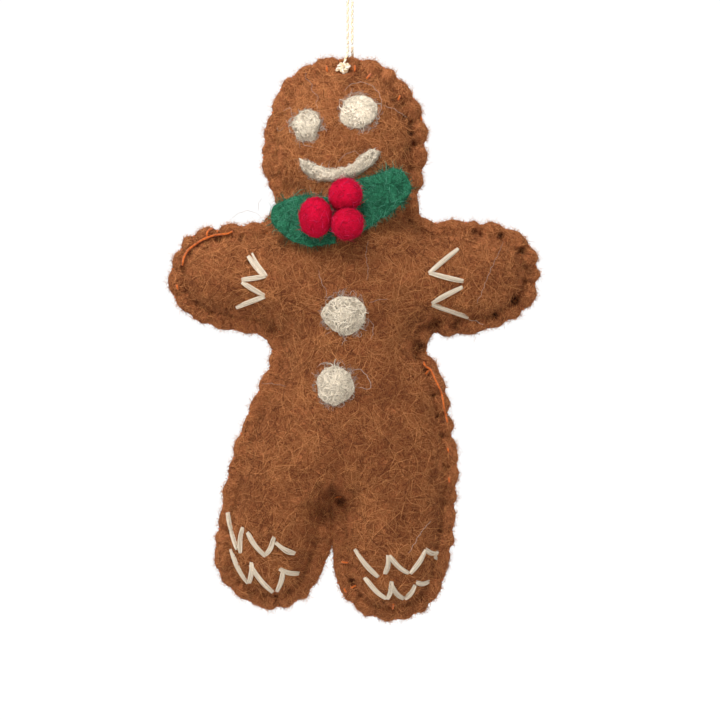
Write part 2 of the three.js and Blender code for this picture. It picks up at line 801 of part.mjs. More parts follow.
// How far the finished front felt stands out from the seam plane at a place, or the seam thread where that
// is more
const panel = makePanel();
function feltDepth(x, z) {
  const position = panel.getAttribute('position');
  const index = panel.getIndex();
  const target = new THREE.Vector3(x, z, 0);
  const corners = [new THREE.Vector3(), new THREE.Vector3(), new THREE.Vector3()];
  const weights = new THREE.Vector3();
  let depth = threadLevel + threadRadius;
  for (let k = 0; k < index.count; k += 3) {
    const ids = [0, 1, 2].map((m) => index.getX(k + m));
    ids.forEach((id, m) => corners[m].set(position.getX(id), position.getZ(id), 0));
    const found = THREE.Triangle.getBarycoord(target, ...corners, weights);
    if (!found || Math.min(weights.x, weights.y, weights.z) < 0) continue;
    const heights = ids.map((id) => position.getY(id));
    depth = Math.max(depth, -weights.dot(new THREE.Vector3(...heights)));
  }
  return depth;
}

// A point in front of the felt, further out than it by the seat gap and more
const onFace = (x, z, lift) => new THREE.Vector3(x, -(feltDepth(x, z) + seatGap + lift), z);

// The direction square to the front felt at a place, from its slope over a short way
function feltNormal(x, z) {
  const slopeX = (feltDepth(x + slopeReach, z) - feltDepth(x - slopeReach, z)) / (2 * slopeReach);
  const slopeZ = (feltDepth(x, z + slopeReach) - feltDepth(x, z - slopeReach)) / (2 * slopeReach);
  return new THREE.Vector3(-slopeX, -1, -slopeZ).normalize();
}

// One skin of a pad: rings one inside the other, the last one closed across its middle; it faces -Y unless
// flipped.
function addSkin(body, loops, pointAt, flip) {
  const before = body.triangles.length;
  const rings = loops.map((loop) => loop.map((p) => {
    const q = pointAt(p);
    return body.add(q.x, q.y, q.z);
  }));
  for (let i = 1; i < rings.length; i += 1) body.band(rings[i - 1], rings[i]);
  const last = rings[rings.length - 1];
  const end = last.length - 1;
  for (let k = 0; k + 1 < end - k; k += 1) body.quad(last[k], last[k + 1], last[end - k - 1], last[end - k]);
  if (flip) {
    for (let k = before; k < body.triangles.length; k += 3) {
      const b = body.triangles[k + 1];
      body.triangles[k + 1] = body.triangles[k + 2];
      body.triangles[k + 2] = b;
    }
  }
  return rings[0];
}

// A pad: a skin on top, one below with fewer rings, and the wall between their first rings
function pad(loops, topAt, bottomAt) {
  const body = new Body();
  const top = addSkin(body, loops, topAt, false);
  const bottom = addSkin(body, loops.slice(0, -1), bottomAt, true);
  top.forEach((p, i) => {
    const j = (i + 1) % top.length;
    body.quad(p, bottom[i], bottom[j], top[j]);
  });
  return body.geometry();
}

// A round tuft of needle-felted wool, a little uneven, crowned in the middle
function woolTuft(shares, [width, height], turn) {
  const centre = place(shares);
  const loops = tuftRingShares.map((r) => {
    const loop = [];
    for (let k = 0; k < tuftSideCount; k += 1) {
      const angle = (2 * Math.PI * k) / tuftSideCount;
      const reach = r * (1 + woolWobbleShare * Math.sin(tuftLobeCount * angle + turn));
      loop.push({
        x: centre.x + (width / 2) * reach * Math.cos(angle),
        z: centre.z + (height / 2) * reach * Math.sin(angle),
        r,
      });
    }
    return loop;
  });
  return pad(
    loops,
    (p) => onFace(p.x, p.z, woolRim + woolCrown * (1 - p.r * p.r)),
    (p) => onFace(p.x, p.z, 0),
  );
}

// Rings that run round a strip: along its lower side, back along its upper side, and smaller ones inside
function stripLoops(shares, halfWidthAt, steps, rings) {
  const line = new THREE.CatmullRomCurve3(shares.map((row) => {
    const p = place(row);
    return new THREE.Vector3(p.x, 0, p.z);
  }));
  const stations = [];
  for (let i = 0; i <= steps; i += 1) {
    const t = i / steps;
    const p = line.getPointAt(t);
    const d = line.getTangentAt(t);
    stations.push({ t, x: p.x, z: p.z, acrossX: -d.z, acrossZ: d.x, half: halfWidthAt(t) });
  }
  const at = (s, v) => ({
    x: s.x + s.acrossX * s.half * v,
    z: s.z + s.acrossZ * s.half * v,
    t: s.t,
    v: Math.abs(v),
  });
  return rings.map((r) => [
    ...stations.map((s) => at(s, -r)),
    ...stations.slice().reverse().map((s) => at(s, r)),
  ]);
}

// Half the width of a strip: each end starts from a share of it, which grows along the strip until it is full.
function taperedHalf(width, firstShares, lastShares) {
  return (t) => {
    const fromFirst = firstShares[0] + firstShares[1] * t;
    const fromLast = lastShares[0] + lastShares[1] * (1 - t);
    return (width / 2) * Math.min(fromFirst, 1, fromLast);
  };
}

// The smile: pointed at its left end, blunt at its right one
function makeSmile() {
  const halfAt = taperedHalf(smileThickness, smileTipShares, smileEndShares);
  const loops = stripLoops(smileShares, halfAt, smileStepCount, smileRingShares);
  return pad(
    loops,
    (p) => onFace(p.x, p.z, woolRim + smileCrown * (1 - p.v * p.v)),
    (p) => onFace(p.x, p.z, 0),
  );
}

// How far a leaf's underside stands out from the seam plane at its root, where it rests on the felt
function leafRootDepth(shares) {
  const root = place(shares[0]);
  return feltDepth(root.x, root.z) + seatGap;
}

// A leaf of green felt: it runs out straight from its root, droops to its tip and never sinks into the body.
function makeLeaf(shares, width) {
  const halfAt = taperedHalf(width, leafRootShares, leafTipShares);
  const loops = stripLoops(shares, halfAt, leafStepCount, leafRingShares);
  const rootDepth = leafRootDepth(shares);
  const under = (p) => {
    const free = rootDepth * (1 - leafDroopShare * p.t * p.t) + leafCup * p.v * p.v;
    return Math.max(free, feltDepth(p.x, p.z) + seatGap);
  };
  return pad(
    loops,
    (p) => new THREE.Vector3(p.x, -(under(p) + leafThickness), p.z),
    (p) => new THREE.Vector3(p.x, -under(p), p.z),
  );
}

// The berries: balls flattened where they sit on the leaves and where the lowest one presses on the others
function makeBerries() {
  const rootDepth = Math.max(leafRootDepth(leafLeftShares), leafRootDepth(leafRightShares));
  const seat = rootDepth + leafCup + leafThickness + seatGap;
  const centreOf = (shares, diameter, stack) => {
    const p = place(shares);
    return new THREE.Vector3(p.x, -(seat + diameter / 2 - berrySink + stack), p.z);
  };
  const ballAt = (centre, diameter) => {
    const ball = new THREE.SphereGeometry(diameter / 2, berrySideCount, berryRowCount);
    ball.rotateX(Math.PI / 2);
    ball.translate(centre.x, centre.y, centre.z);
    return toSolid(ball);
  };
  const lower = centreOf(berryLowerShare, berryLowerDiameter, berryStack);
  const press = ballAt(lower, berryLowerDiameter + 2 * seatGap);
  const room = new THREE.BoxGeometry(armSpan, bodyDepth, figureHeight);
  room.translate(0, -seat - bodyDepth / 2, headTop);
  const front = toSolid(room);
  const pressed = (shares, diameter) => {
    const ball = ballAt(centreOf(shares, diameter, 0), diameter);
    return ball.intersect(front).subtract(press);
  };
  return {
    berry_top: pressed(berryTopShare, berryTopDiameter),
    berry_left: pressed(berryLeftShare, berryLeftDiameter),
    berry_lower: ballAt(lower, berryLowerDiameter),
  };
}

// A zigzag of flat embroidery floss that lies on the front felt
function makeFloss(shares) {
  const corners = shares.map(place);
  let row = null;
  for (let i = 1; i < corners.length; i += 1) {
    const places = flossStepShares.map((t) => ({
      x: THREE.MathUtils.lerp(corners[i - 1].x, corners[i].x, t),
      z: THREE.MathUtils.lerp(corners[i - 1].z, corners[i].z, t),
    }));
    const normals = places.map((p) => feltNormal(p.x, p.z));
    const path = places.map((p, k) => {
      return onFace(p.x, p.z, flossGap).addScaledVector(normals[k], flossThickness / 2);
    });
    const turned = (k) => normals[k];
    const stitch = toSolid(tube(path, flossSideCount, flossWidth, flossThickness, normals[0], turned));
    row = row ? row.add(stitch) : stitch;
  }
  return row;
}

// Finishes
const brownFelt = new THREE.MeshStandardMaterial({ color: 0x8f5029, roughness: 0.98 });
const stuffingFibre = new THREE.MeshStandardMaterial({ color: 0xe9e4da, roughness: 1 });
const seamYarn = new THREE.MeshStandardMaterial({ color: 0xc4601f, roughness: 0.9 });
const creamWool = new THREE.MeshStandardMaterial({ color: 0xe6dcc8, roughness: 0.98 });
const greenFelt = new THREE.MeshStandardMaterial({ color: 0x15694a, roughness: 0.98 });
const redFelt = new THREE.MeshStandardMaterial({ color: 0xc8102e, roughness: 0.95 });
const creamFloss = new THREE.MeshStandardMaterial({ color: 0xddd2bd, roughness: 0.7 });
const creamCord = new THREE.MeshStandardMaterial({ color: 0xf1e6cc, roughness: 0.8 });

// The assembly
const ornament = new THREE.Group();

function addPiece(name, geometry, material) {
  geometry.computeVertexNormals();
  const mesh = new THREE.Mesh(geometry, material);
  mesh.name = name;
  ornament.add(mesh);
}

function addSolids(solids, material) {
  for (const [name, solid] of Object.entries(solids)) addPiece(name, toGeometry(solid), material);
}

const eyeCutter = eyeHoleCutter();
addSolids({
  front_panel: toSolid(panel).subtract(eyeCutter),
  back_panel: toSolid(mirrored(panel)).subtract(eyeCutter),
}, brownFelt);
addSolids(makeWads(), stuffingFibre);
addPiece('seam_thread', makeSeamThread(), seamYarn);

addPiece('hanging_loop', makeHangingLoop(), creamCord);
addPiece('strand_left', makeStrand(-1), creamCord);
addPiece('strand_right', makeStrand(1), creamCord);
addSolids({ loop_knot: makeKnot() }, creamCord);

addPiece('eye_left', woolTuft(eyeLeftShare, eyeLeftSize, tuftTurns.eyeLeft), creamWool);
addPiece('eye_right', woolTuft(eyeRightShare, eyeRightSize, tuftTurns.eyeRight), creamWool);
addPiece('smile', makeSmile(), creamWool);
addPiece(
  'button_upper',
  woolTuft(buttonUpperShare, buttonUpperSize, tuftTurns.buttonUpper),
  creamWool,
);
addPiece(
  'button_lower',
  woolTuft(buttonLowerShare, buttonLowerSize, tuftTurns.buttonLower),
  creamWool,
);

addPiece('leaf_left', makeLeaf(leafLeftShares, leafLeftWidth), greenFelt);
addPiece('leaf_right', makeLeaf(leafRightShares, leafRightWidth), greenFelt);
addSolids(makeBerries(), redFelt);

addSolids({
  wrist_floss_left: makeFloss(wristLeftShares),
  wrist_floss_right: makeFloss(wristRightShares),
  foot_floss_left_upper: makeFloss(footLeftUpperShares),
  foot_floss_left_lower: makeFloss(footLeftLowerShares),
  foot_floss_right_upper: makeFloss(footRightUpperShares),
  foot_floss_right_lower: makeFloss(footRightLowerShares),
}, creamFloss);

export default ornament;
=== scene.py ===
"""A stuffed felt gingerbread figure on its hanging thread, made piece by piece from the 3D view's sidebar."""

import json
import math

import bpy
import numpy as np
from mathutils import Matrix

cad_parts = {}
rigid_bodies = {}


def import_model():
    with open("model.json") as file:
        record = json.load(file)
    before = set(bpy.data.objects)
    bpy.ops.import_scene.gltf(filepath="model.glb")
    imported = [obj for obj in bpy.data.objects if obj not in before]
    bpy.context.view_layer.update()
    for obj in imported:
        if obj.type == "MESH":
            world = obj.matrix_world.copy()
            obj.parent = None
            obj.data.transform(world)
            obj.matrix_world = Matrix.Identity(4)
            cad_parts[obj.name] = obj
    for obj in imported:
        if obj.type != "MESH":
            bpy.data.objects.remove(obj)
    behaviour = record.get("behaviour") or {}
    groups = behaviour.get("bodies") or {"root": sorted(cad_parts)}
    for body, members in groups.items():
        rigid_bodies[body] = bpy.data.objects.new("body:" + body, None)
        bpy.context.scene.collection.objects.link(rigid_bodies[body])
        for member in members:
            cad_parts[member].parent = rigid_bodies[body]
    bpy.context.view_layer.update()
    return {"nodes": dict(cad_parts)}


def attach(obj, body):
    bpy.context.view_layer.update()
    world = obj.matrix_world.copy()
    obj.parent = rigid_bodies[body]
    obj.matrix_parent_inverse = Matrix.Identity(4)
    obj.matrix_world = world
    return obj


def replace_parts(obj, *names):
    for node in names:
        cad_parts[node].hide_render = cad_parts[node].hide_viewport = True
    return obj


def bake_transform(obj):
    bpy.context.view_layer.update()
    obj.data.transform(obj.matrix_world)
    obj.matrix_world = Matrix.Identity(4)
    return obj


bl_info = {
    "name": "Felt Gingerbread Figure",
    "version": (1, 0, 0),
    "blender": (4, 5, 0),
    "location": "3D View > Sidebar > Felt Figure",
    "description": "Makes the felts, wool, stitches, holly and hanging thread of a stuffed gingerbread figure",
    "category": "Add Mesh",
}

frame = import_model()

# All lengths below are millimetres, those of the settings metres; meshes are made in metres.
MM = 0.001

# Spine points on which the rings of the stuffed form close: x as a share of half the arm span, then down as a
# share of the figure's height
SPINE = {
    "crown": (-0.02, 0.105), "face": (-0.02, 0.185), "neck": (-0.01, 0.275), "chest": (-0.01, 0.375),
    "shoulder_left": (-0.33, 0.385), "forearm_left": (-0.58, 0.385), "hand_left": (-0.77, 0.378),
    "shoulder_right": (0.31, 0.38), "forearm_right": (0.57, 0.382), "hand_right": (0.81, 0.373),
    "belly": (-0.01, 0.47), "waist": (-0.01, 0.57), "hips": (-0.03, 0.66),
    "thigh_left": (-0.36, 0.765), "shin_left": (-0.41, 0.85), "foot_left": (-0.43, 0.9),
    "thigh_right": (0.25, 0.765), "shin_right": (0.26, 0.86), "foot_right": (0.25, 0.915),
}

# The cut-out's edge once round from the top of the head: x share, down share, the spine point that it faces, and
# how hard the seam is drawn in there
OUTLINE = [
    (0.0, 0.0, "crown", 0.4), (-0.175, 0.006, "crown", 0.4), (-0.326, 0.039, "crown", 0.5),
    (-0.418, 0.098, "crown", 0.5), (-0.454, 0.165, "face", 0.35), (-0.434, 0.216, "neck", 0.4),
    (-0.38, 0.251, "neck", 0.4), (-0.402, 0.279, "chest", 0.6), (-0.503, 0.294, "shoulder_left", 0.8),
    (-0.683, 0.299, "forearm_left", 1.1), (-0.87, 0.32, "hand_left", 1.1), (-0.947, 0.374, "hand_left", 0.7),
    (-0.925, 0.428, "hand_left", 0.4), (-0.78, 0.468, "forearm_left", 0.25), (-0.594, 0.484, "shoulder_left", 0.2),
    (-0.444, 0.494, "chest", 0.2), (-0.409, 0.517, "belly", 0.2), (-0.457, 0.573, "waist", 0.2),
    (-0.55, 0.643, "hips", 0.3), (-0.634, 0.724, "thigh_left", 0.4), (-0.669, 0.789, "thigh_left", 0.5),
    (-0.709, 0.855, "shin_left", 0.5), (-0.672, 0.927, "foot_left", 0.5), (-0.536, 0.967, "foot_left", 0.6),
    (-0.368, 0.977, "foot_left", 0.6), (-0.21, 0.948, "foot_left", 0.5), (-0.135, 0.896, "shin_left", 0.4),
    (-0.1, 0.868, "shin_left", 0.3), (-0.097, 0.835, "thigh_left", 0.3), (-0.094, 0.81, "thigh_left", 0.3),
    (-0.0877, 0.793, "hips", 0.3), (-0.0815, 0.81, "thigh_right", 0.3), (-0.0785, 0.835, "thigh_right", 0.3),
    (-0.0755, 0.868, "shin_right", 0.3), (-0.06, 0.91, "shin_right", 0.5), (-0.032, 0.948, "foot_right", 0.6),
    (0.084, 0.987, "foot_right", 0.6), (0.271, 0.997, "foot_right", 0.5), (0.43, 0.973, "foot_right", 0.7),
    (0.508, 0.929, "foot_right", 0.7), (0.552, 0.86, "shin_right", 0.6), (0.574, 0.79, "thigh_right", 0.6),
    (0.584, 0.72, "thigh_right", 0.7), (0.549, 0.639, "hips", 0.8), (0.499, 0.563, "waist", 0.9),
    (0.425, 0.516, "belly", 1.0), (0.433, 0.495, "chest", 1.0), (0.61, 0.489, "shoulder_right", 0.8),
    (0.81, 0.475, "forearm_right", 0.8), (0.97, 0.437, "hand_right", 0.8), (1.02, 0.374, "hand_right", 0.8),
    (0.948, 0.322, "hand_right", 0.8), (0.793, 0.296, "forearm_right", 0.8), (0.581, 0.29, "shoulder_right", 0.7),
    (0.423, 0.289, "chest", 0.7), (0.374, 0.265, "neck", 0.8), (0.389, 0.226, "neck", 1.0),
    (0.419, 0.165, "face", 1.3), (0.41, 0.114, "crown", 1.3), (0.318, 0.053, "crown", 1.0),
    (0.196, 0.013, "crown", 0.8),
]

# Deep creases and needle holes, carved into the front felt and darkened there with painted shade: the place as shares,
# the radius in millimetres, how dark the painted shade is
SHADED_PITS = [
    (0.2457, 0.0686, 0.8, 0.6), (0.3064, 0.0998, 0.75, 0.8), (0.3333, 0.1132, 0.7, 0.7),
    (0.3387, 0.1266, 0.8, 0.85), (0.3199, 0.1578, 0.9, 0.85), (0.3064, 0.1711, 0.6, 0.6),
    (0.2688, 0.0802, 0.6, 0.4), (0.6882, 0.3048, 0.75, 0.7), (0.828, 0.3119, 0.8, 0.8), (0.9463, 0.3405, 0.9, 0.9),
    (0.9947, 0.3779, 0.8, 0.6), (0.9033, 0.4278, 1.1, 0.85), (0.7958, 0.4563, 1.0, 0.8), (0.5753, 0.4759, 0.9, 0.5),
    (0.4624, 0.4786, 1.6, 0.5), (0.3898, 0.5116, 1.5, 0.75), (-0.0807, 0.7718, 1.7, 0.6),
    (-0.0377, 0.7914, 1.2, 0.5), (-0.1345, 0.7611, 1.2, 0.35), (-0.1237, 0.8164, 1.8, 0.4),
    (-0.4087, 0.4813, 1.5, 0.4), (0.4247, 0.5561, 0.8, 0.7), (0.5161, 0.6453, 0.7, 0.6), (0.543, 0.7326, 0.7, 0.45),
    (-0.769, 0.3351, 0.7, 0.5), (-0.8712, 0.3993, 0.6, 0.4), (-0.5378, 0.3619, 0.6, 0.35),
    (0.5269, 0.795, 0.6, 0.35), (0.0268, 0.9376, 0.9, 0.5), (-0.355, 0.0321, 0.7, 0.35),
    (-0.4195, 0.0909, 0.8, 0.35), (-0.4302, 0.1533, 0.7, 0.3),
]

# The hanging line's x, and the height of the head's top under the loop's top
HANG_X = -0.45
TOP = -55.0
# The room between the two felts at their edge
PANEL_GAP = 0.3
# How far inside the edge the seam, the line where the swell starts and the first ring past the rim run
SEAM_INSET = 3.0
SWELL_INSET = 3.55
RING_INSET = 5.25
# How roundly the swell starts, and how much thicker a slope makes the felt at most
SOFTNESS = 0.08
STRETCH_LIMIT = 1.35
# The most room between two columns of the felts' mesh
COLUMN_PITCH = 0.36
# Where the legs part, as shares
LEGS_PART = (-0.0877, 0.8)
# How far the pits lie in front of the seam plane, where the camera looks at them
PIT_LEVEL = 9.0
# How far the thread's two strands run from the hanging line, and the height at which they turn at the knot
STRAND_X = 0.5
PIVOT = TOP + 3.2
# The length in which the thread's two plies go once round each other
THREAD_TURN = 1.9
# The camera's place, on the level line that the photograph was taken along
EYE = np.array([2.26, -543.0, -123.1])


def srgb(code):
    """The linear colour of an sRGB hex code: c / 12.92 below 0.04045, else ((c + 0.055) / 1.055) to the power 2.4."""
    c = np.array([int(code[i: i + 2], 16) for i in (0, 2, 4)]) / 255
    return (*np.where(c <= 0.04045, c / 12.92, ((c + 0.055) / 1.055) ** 2.4).tolist(), 1.0)


def size_setting(label, text, default, low, high, digits=4):
    """A setting for a length in metres."""
    return bpy.props.FloatProperty(name=label, description=text, default=default, min=low, max=high, unit="LENGTH",
                                   precision=digits)


def colour_setting(label, text, code):
    """A setting for a colour, from its hex code."""
    return bpy.props.FloatVectorProperty(name=label, description=text, default=srgb(code)[:3], min=0, max=1,
                                         subtype="COLOR")


class FeltFigureSettings(bpy.types.PropertyGroup):
    """Sizes and colours of the felt figure."""

    figure_height: size_setting("Figure Height", "From the feet to the top of the head", 0.127, 0.08, 0.2)
    arm_span: size_setting("Arm Span", "From hand to hand", 0.0842, 0.05, 0.15)
    body_depth: size_setting("Body Depth", "Thickness of the stuffed body at the belly", 0.026, 0.012, 0.05)
    felt_thickness: size_setting("Felt Thickness", "Thickness of each of the two felts", 0.0026, 0.001, 0.005)
    stitch_pitch: size_setting("Stitch Pitch", "Distance between two stitches of the seam", 0.0053, 0.003, 0.01)
    cord_diameter: size_setting("Cord Diameter", "Thickness of the hanging thread", 0.00065, 0.0004, 0.002, 5)
    coat_density: bpy.props.FloatProperty(
        name="Coat Density", description="Share of the full number of brown wool fibres", default=1.0, min=0.05,
        max=1.0, subtype="FACTOR")
    brown: colour_setting("Gingerbread Brown", "Colour of the brown wool felt", "955837")
    cream: colour_setting("Cream Wool", "Colour of the eyes, smile and buttons", "e3d7c4")
    green: colour_setting("Holly Green", "Colour of the leaves", "216044")
    red: colour_setting("Berry Red", "Colour of the felt balls", "b8062c")
    floss: colour_setting("Floss", "Colour of the embroidery floss", "dccdb9")


# Arrays and noise


def hashed(cells, seed):
    """A random number from -1 to 1 for each whole-numbered cell: its numbers times large primes, mixed by shifts."""
    primes = np.array([73856093, 19349663, 83492791], dtype=np.int64)[: cells.shape[-1]]
    mixed = np.bitwise_xor.reduce(cells * primes, axis=-1) + seed * 1013904223
    mixed = ((mixed ^ (mixed >> 13)) * 1274126177) & 0x7FFFFFFF
    return ((mixed ^ (mixed >> 15)) & 0xFFFF) / 32767.5 - 1


def lattice_noise(places, cell, seed):
    """Smooth noise from -1 to 1: the random numbers at the corners of a lattice of this cell size, blended by
    f * f * (3 - 2 f) of the fraction f across each cell."""
    at = np.asarray(places) / cell
    low = np.floor(at).astype(np.int64)
    f = at - low
    f = f * f * (3 - 2 * f)
    total = np.zeros(at.shape[:-1])
    for corner in np.ndindex(*(2,) * at.shape[-1]):
        weight = np.where(np.array(corner, bool), f, 1 - f).prod(-1)
        total += weight * hashed(low + corner, seed)
    return total


def bumps(places, seed, *layers):
    """Noise in layers, each a height and a cell size, with seeds from this one on."""
    return sum(height * lattice_noise(places, cell, seed + i) for i, (height, cell) in enumerate(layers))


def smooth(x, low, high):
    """Nothing below low, 1 above high, and f * f * (3 - 2 f) between."""
    f = np.clip((x - low) / (high - low), 0, 1)
    return f * f * (3 - 2 * f)


def bell(x, width):
    """1 at nothing, falling off both ways over about this width: exp(-(x / width)^2)."""
    return np.exp(-((x / width) ** 2))


def unit(v):
    """The vectors scaled to length 1."""
    return v / np.maximum(np.linalg.norm(v, axis=-1, keepdims=True), 1e-12)


def circle(count):
    """The angles of this many points evenly round a circle."""
    return 2 * np.pi * np.arange(count) / count


def pointing(angle):
    """The directions at these angles."""
    return np.stack([np.cos(angle), np.sin(angle)], -1)


def right_of(run):
    """The directions to the right of these ones, as long as they are."""
    return np.stack([run[..., 1], -run[..., 0]], -1)


def raised(places, depth):
    """Points at this depth over places of x and z."""
    return np.stack([places[..., 0], depth, places[..., 1]], -1)


def spline(points, steps, closed=False):
    """A centripetal Catmull-Rom curve through points: a cubic between each two, whose end tangents come from the
    neighbours weighted by the square roots of the chords. Returns steps points per leg (and the last point)."""
    p = np.asarray(points, float)
    if closed:
        p0, p1, p2, p3 = np.roll(p, 1, 0), p, np.roll(p, -1, 0), np.roll(p, -2, 0)
    else:
        padded = np.vstack([2 * p[0] - p[1], p, 2 * p[-1] - p[-2]])
        p0, p1, p2, p3 = padded[:-3], padded[1:-2], padded[2:-1], padded[3:]
    d0, d1, d2 = (np.sqrt(np.maximum(np.linalg.norm(b - a, axis=1), 1e-9))[:, None]
                  for a, b in ((p0, p1), (p1, p2), (p2, p3)))
    m1 = ((p1 - p0) / d0 - (p2 - p0) / (d0 + d1) + (p2 - p1) / d1) * d1
    m2 = ((p2 - p1) / d1 - (p3 - p1) / (d1 + d2) + (p3 - p2) / d2) * d1
    t = (np.arange(steps) / steps)[None, :, None]
    a, b, c, d = p1[:, None], m1[:, None], (3 * (p2 - p1) - 2 * m1 - m2)[:, None], (2 * (p1 - p2) + m1 + m2)[:, None]
    curve = (a + t * (b + t * (c + t * d))).reshape(-1, p.shape[1])
    return curve if closed else np.vstack([curve, p[-1]])


def walked(path):
    """The length walked along a path at each of its points."""
    return np.concatenate([[0], np.cumsum(np.linalg.norm(np.diff(path, axis=0), axis=1))])


def met(path, at, lengths):
    """The places met at these lengths along a path, whose own points lie at the lengths at."""
    return np.stack([np.interp(lengths, at, path[:, i]) for i in range(path.shape[1])], -1)


def even(path, step):
    """The path walked in equal steps of about this length."""
    at = walked(path)
    return met(path, at, np.linspace(0, at[-1], max(int(round(at[-1] / step)), 2) + 1))


def carried(path, first):
    """A side direction for each station of a path: the first one, turned only as much as the path turns."""
    runs = unit(np.gradient(path, axis=0))
    sides = np.empty_like(path)
    side = np.asarray(first, float)
    for i, run in enumerate(runs):
        side = unit(side - run * (side @ run))
        sides[i] = side
    return sides


# Meshes


def tubes(paths, radius, side, sides=3):
    """Closed tubes along many paths at once. Each station but the two ends carries a ring of points at this radius
    round the path, and each end closes on its own point. paths is (n, k, 3), radius (n, k), side (n, 3) or
    (n, k, 3) and never along its path. Returns the points and lists of faces."""
    n, k = paths.shape[:2]
    side = side[:, None] if side.ndim == 2 else side
    run = unit(np.gradient(paths, axis=1))
    a = unit(side - run * (side * run).sum(-1, keepdims=True))
    b = np.cross(run, a)
    turn = circle(sides)
    ring = (a[:, 1:-1, None] * np.cos(turn)[:, None] + b[:, 1:-1, None] * np.sin(turn)[:, None])
    ring = paths[:, 1:-1, None] + ring * radius[:, 1:-1, None, None]
    points = np.concatenate([paths[:, :1], ring.reshape(n, -1, 3), paths[:, -1:]], axis=1)
    per = points.shape[1]
    j = np.arange(sides)
    jn = (j + 1) % sides
    start = 1 + sides * np.arange(k - 3)[:, None]
    band = np.stack([start + j, start + jn, start + sides + jn, start + sides + j], -1).reshape(-1, 4)
    last = 1 + sides * (k - 3)
    fans = np.concatenate([np.stack([0 * j, 1 + jn, 1 + j], -1), np.stack([0 * j + per - 1, last + j, last + jn], -1)])
    offset = per * np.arange(n)[:, None, None]
    return points.reshape(-1, 3), [(band + offset).reshape(-1, 4), (fans + offset).reshape(-1, 3)]


def between(first, second):
    """Faces between two closed rings of equal count; where the second ring repeats a point, a triangle."""
    quads = np.stack([first, np.roll(first, -1), np.roll(second, -1), second], -1)
    flat = quads[:, 2] == quads[:, 3]
    return [quads[~flat], quads[flat][:, :3]]


def bands(ids):
    """Faces between each closed ring of numbers and the next."""
    return [faces for i in range(len(ids) - 1) for faces in between(ids[i], ids[i + 1])]


def flipped(faces):
    """The faces turned to look the other way."""
    return [f[:, ::-1] for f in faces]


def lofted(rings, start, end):
    """A closed form through rings (m, n, 3), which turn anticlockwise as seen from the end, with a point at each
    end. Returns the points and lists of faces."""
    m, n = rings.shape[:2]
    ids = 1 + np.arange(m * n).reshape(m, n)
    fans = [np.stack([np.zeros(n, int), np.roll(ids[0], -1), ids[0]], -1),
            np.stack([np.full(n, m * n + 1), ids[-1], np.roll(ids[-1], -1)], -1)]
    return np.vstack([[start], rings.reshape(-1, 3), [end]]), bands(ids) + fans


def joined(*forms):
    """Several forms, each points, lists of faces and perhaps numbers per point, as one."""
    points, faces, numbers, offset = [], [], [], 0
    for form_points, form_faces, *form_numbers in forms:
        points.append(form_points)
        faces += [f + offset for f in form_faces]
        numbers += form_numbers
        offset += len(form_points)
    return (np.vstack(points), faces, *([np.concatenate(numbers)] if numbers else []))


def add_piece(name, form, finishes, body="figure", key="tone", worn=None):
    """Makes a piece of these finishes from a form: points in millimetres, lists of faces, each an array of corner
    numbers, and perhaps numbers per point under the key. worn is the finish's number per face in the order of
    faces."""
    points, faces, *numbers = form
    mesh = bpy.data.meshes.new(name)
    faces = [f for f in faces if len(f)]
    mesh.vertices.add(len(points))
    mesh.vertices.foreach_set("co", (np.asarray(points) * MM).astype(np.float32).ravel())
    corners = np.concatenate([f.ravel() for f in faces]).astype(np.int32)
    sizes = np.concatenate([np.full(len(f), f.shape[1]) for f in faces])
    mesh.loops.add(len(corners))
    mesh.loops.foreach_set("vertex_index", corners)
    mesh.polygons.add(len(sizes))
    mesh.polygons.foreach_set("loop_start", np.concatenate([[0], np.cumsum(sizes)[:-1]]).astype(np.int32))
    if worn is not None:
        mesh.polygons.foreach_set("material_index", np.asarray(worn, np.int32))
    mesh.update(calc_edges=True)
    mesh.shade_smooth()
    for values in numbers:
        layer = mesh.attributes.new(key, "FLOAT", "POINT")
        layer.data.foreach_set("value", np.asarray(values, np.float32))
    piece = bpy.data.objects.new(name, mesh)
    for finish_name in finishes:
        mesh.materials.append(material_of(finish_name))
    bpy.context.scene.collection.objects.link(piece)
    if body:
        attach(piece, body)
    return piece


# Materials


def node(tree, kind, inputs=None, stops=None, out=0, **settings):
    """Adds a node of this kind with its settings and returns one of its outputs, the first unless out says another.
    inputs gives a value or another node's output for sockets by name or number, stops the places and colours of a
    ramp."""
    made = tree.nodes.new(kind)
    for key, value in settings.items():
        setattr(made, key, value)
    for key, value in (inputs or {}).items():
        if isinstance(value, bpy.types.NodeSocket):
            tree.links.new(value, made.inputs[key])
        else:
            made.inputs[key].default_value = value
    for i, (place, colour) in enumerate(stops or []):
        stop = made.color_ramp.elements[i] if i < 2 else made.color_ramp.elements.new(place)
        stop.position, stop.color = place, colour
    return made.outputs[out] if made.outputs else None


def finish(name):
    """A new material of this name with an empty node tree, and the tree."""
    material = bpy.data.materials.new(name)
    material.use_nodes = True
    material.node_tree.nodes.clear()
    return material, material.node_tree


def millimetres(tree):
    """Object coordinates in millimetres."""
    place = node(tree, "ShaderNodeTexCoord", out="Object")
    return node(tree, "ShaderNodeVectorMath", {0: place, "Scale": 1000.0}, operation="SCALE")


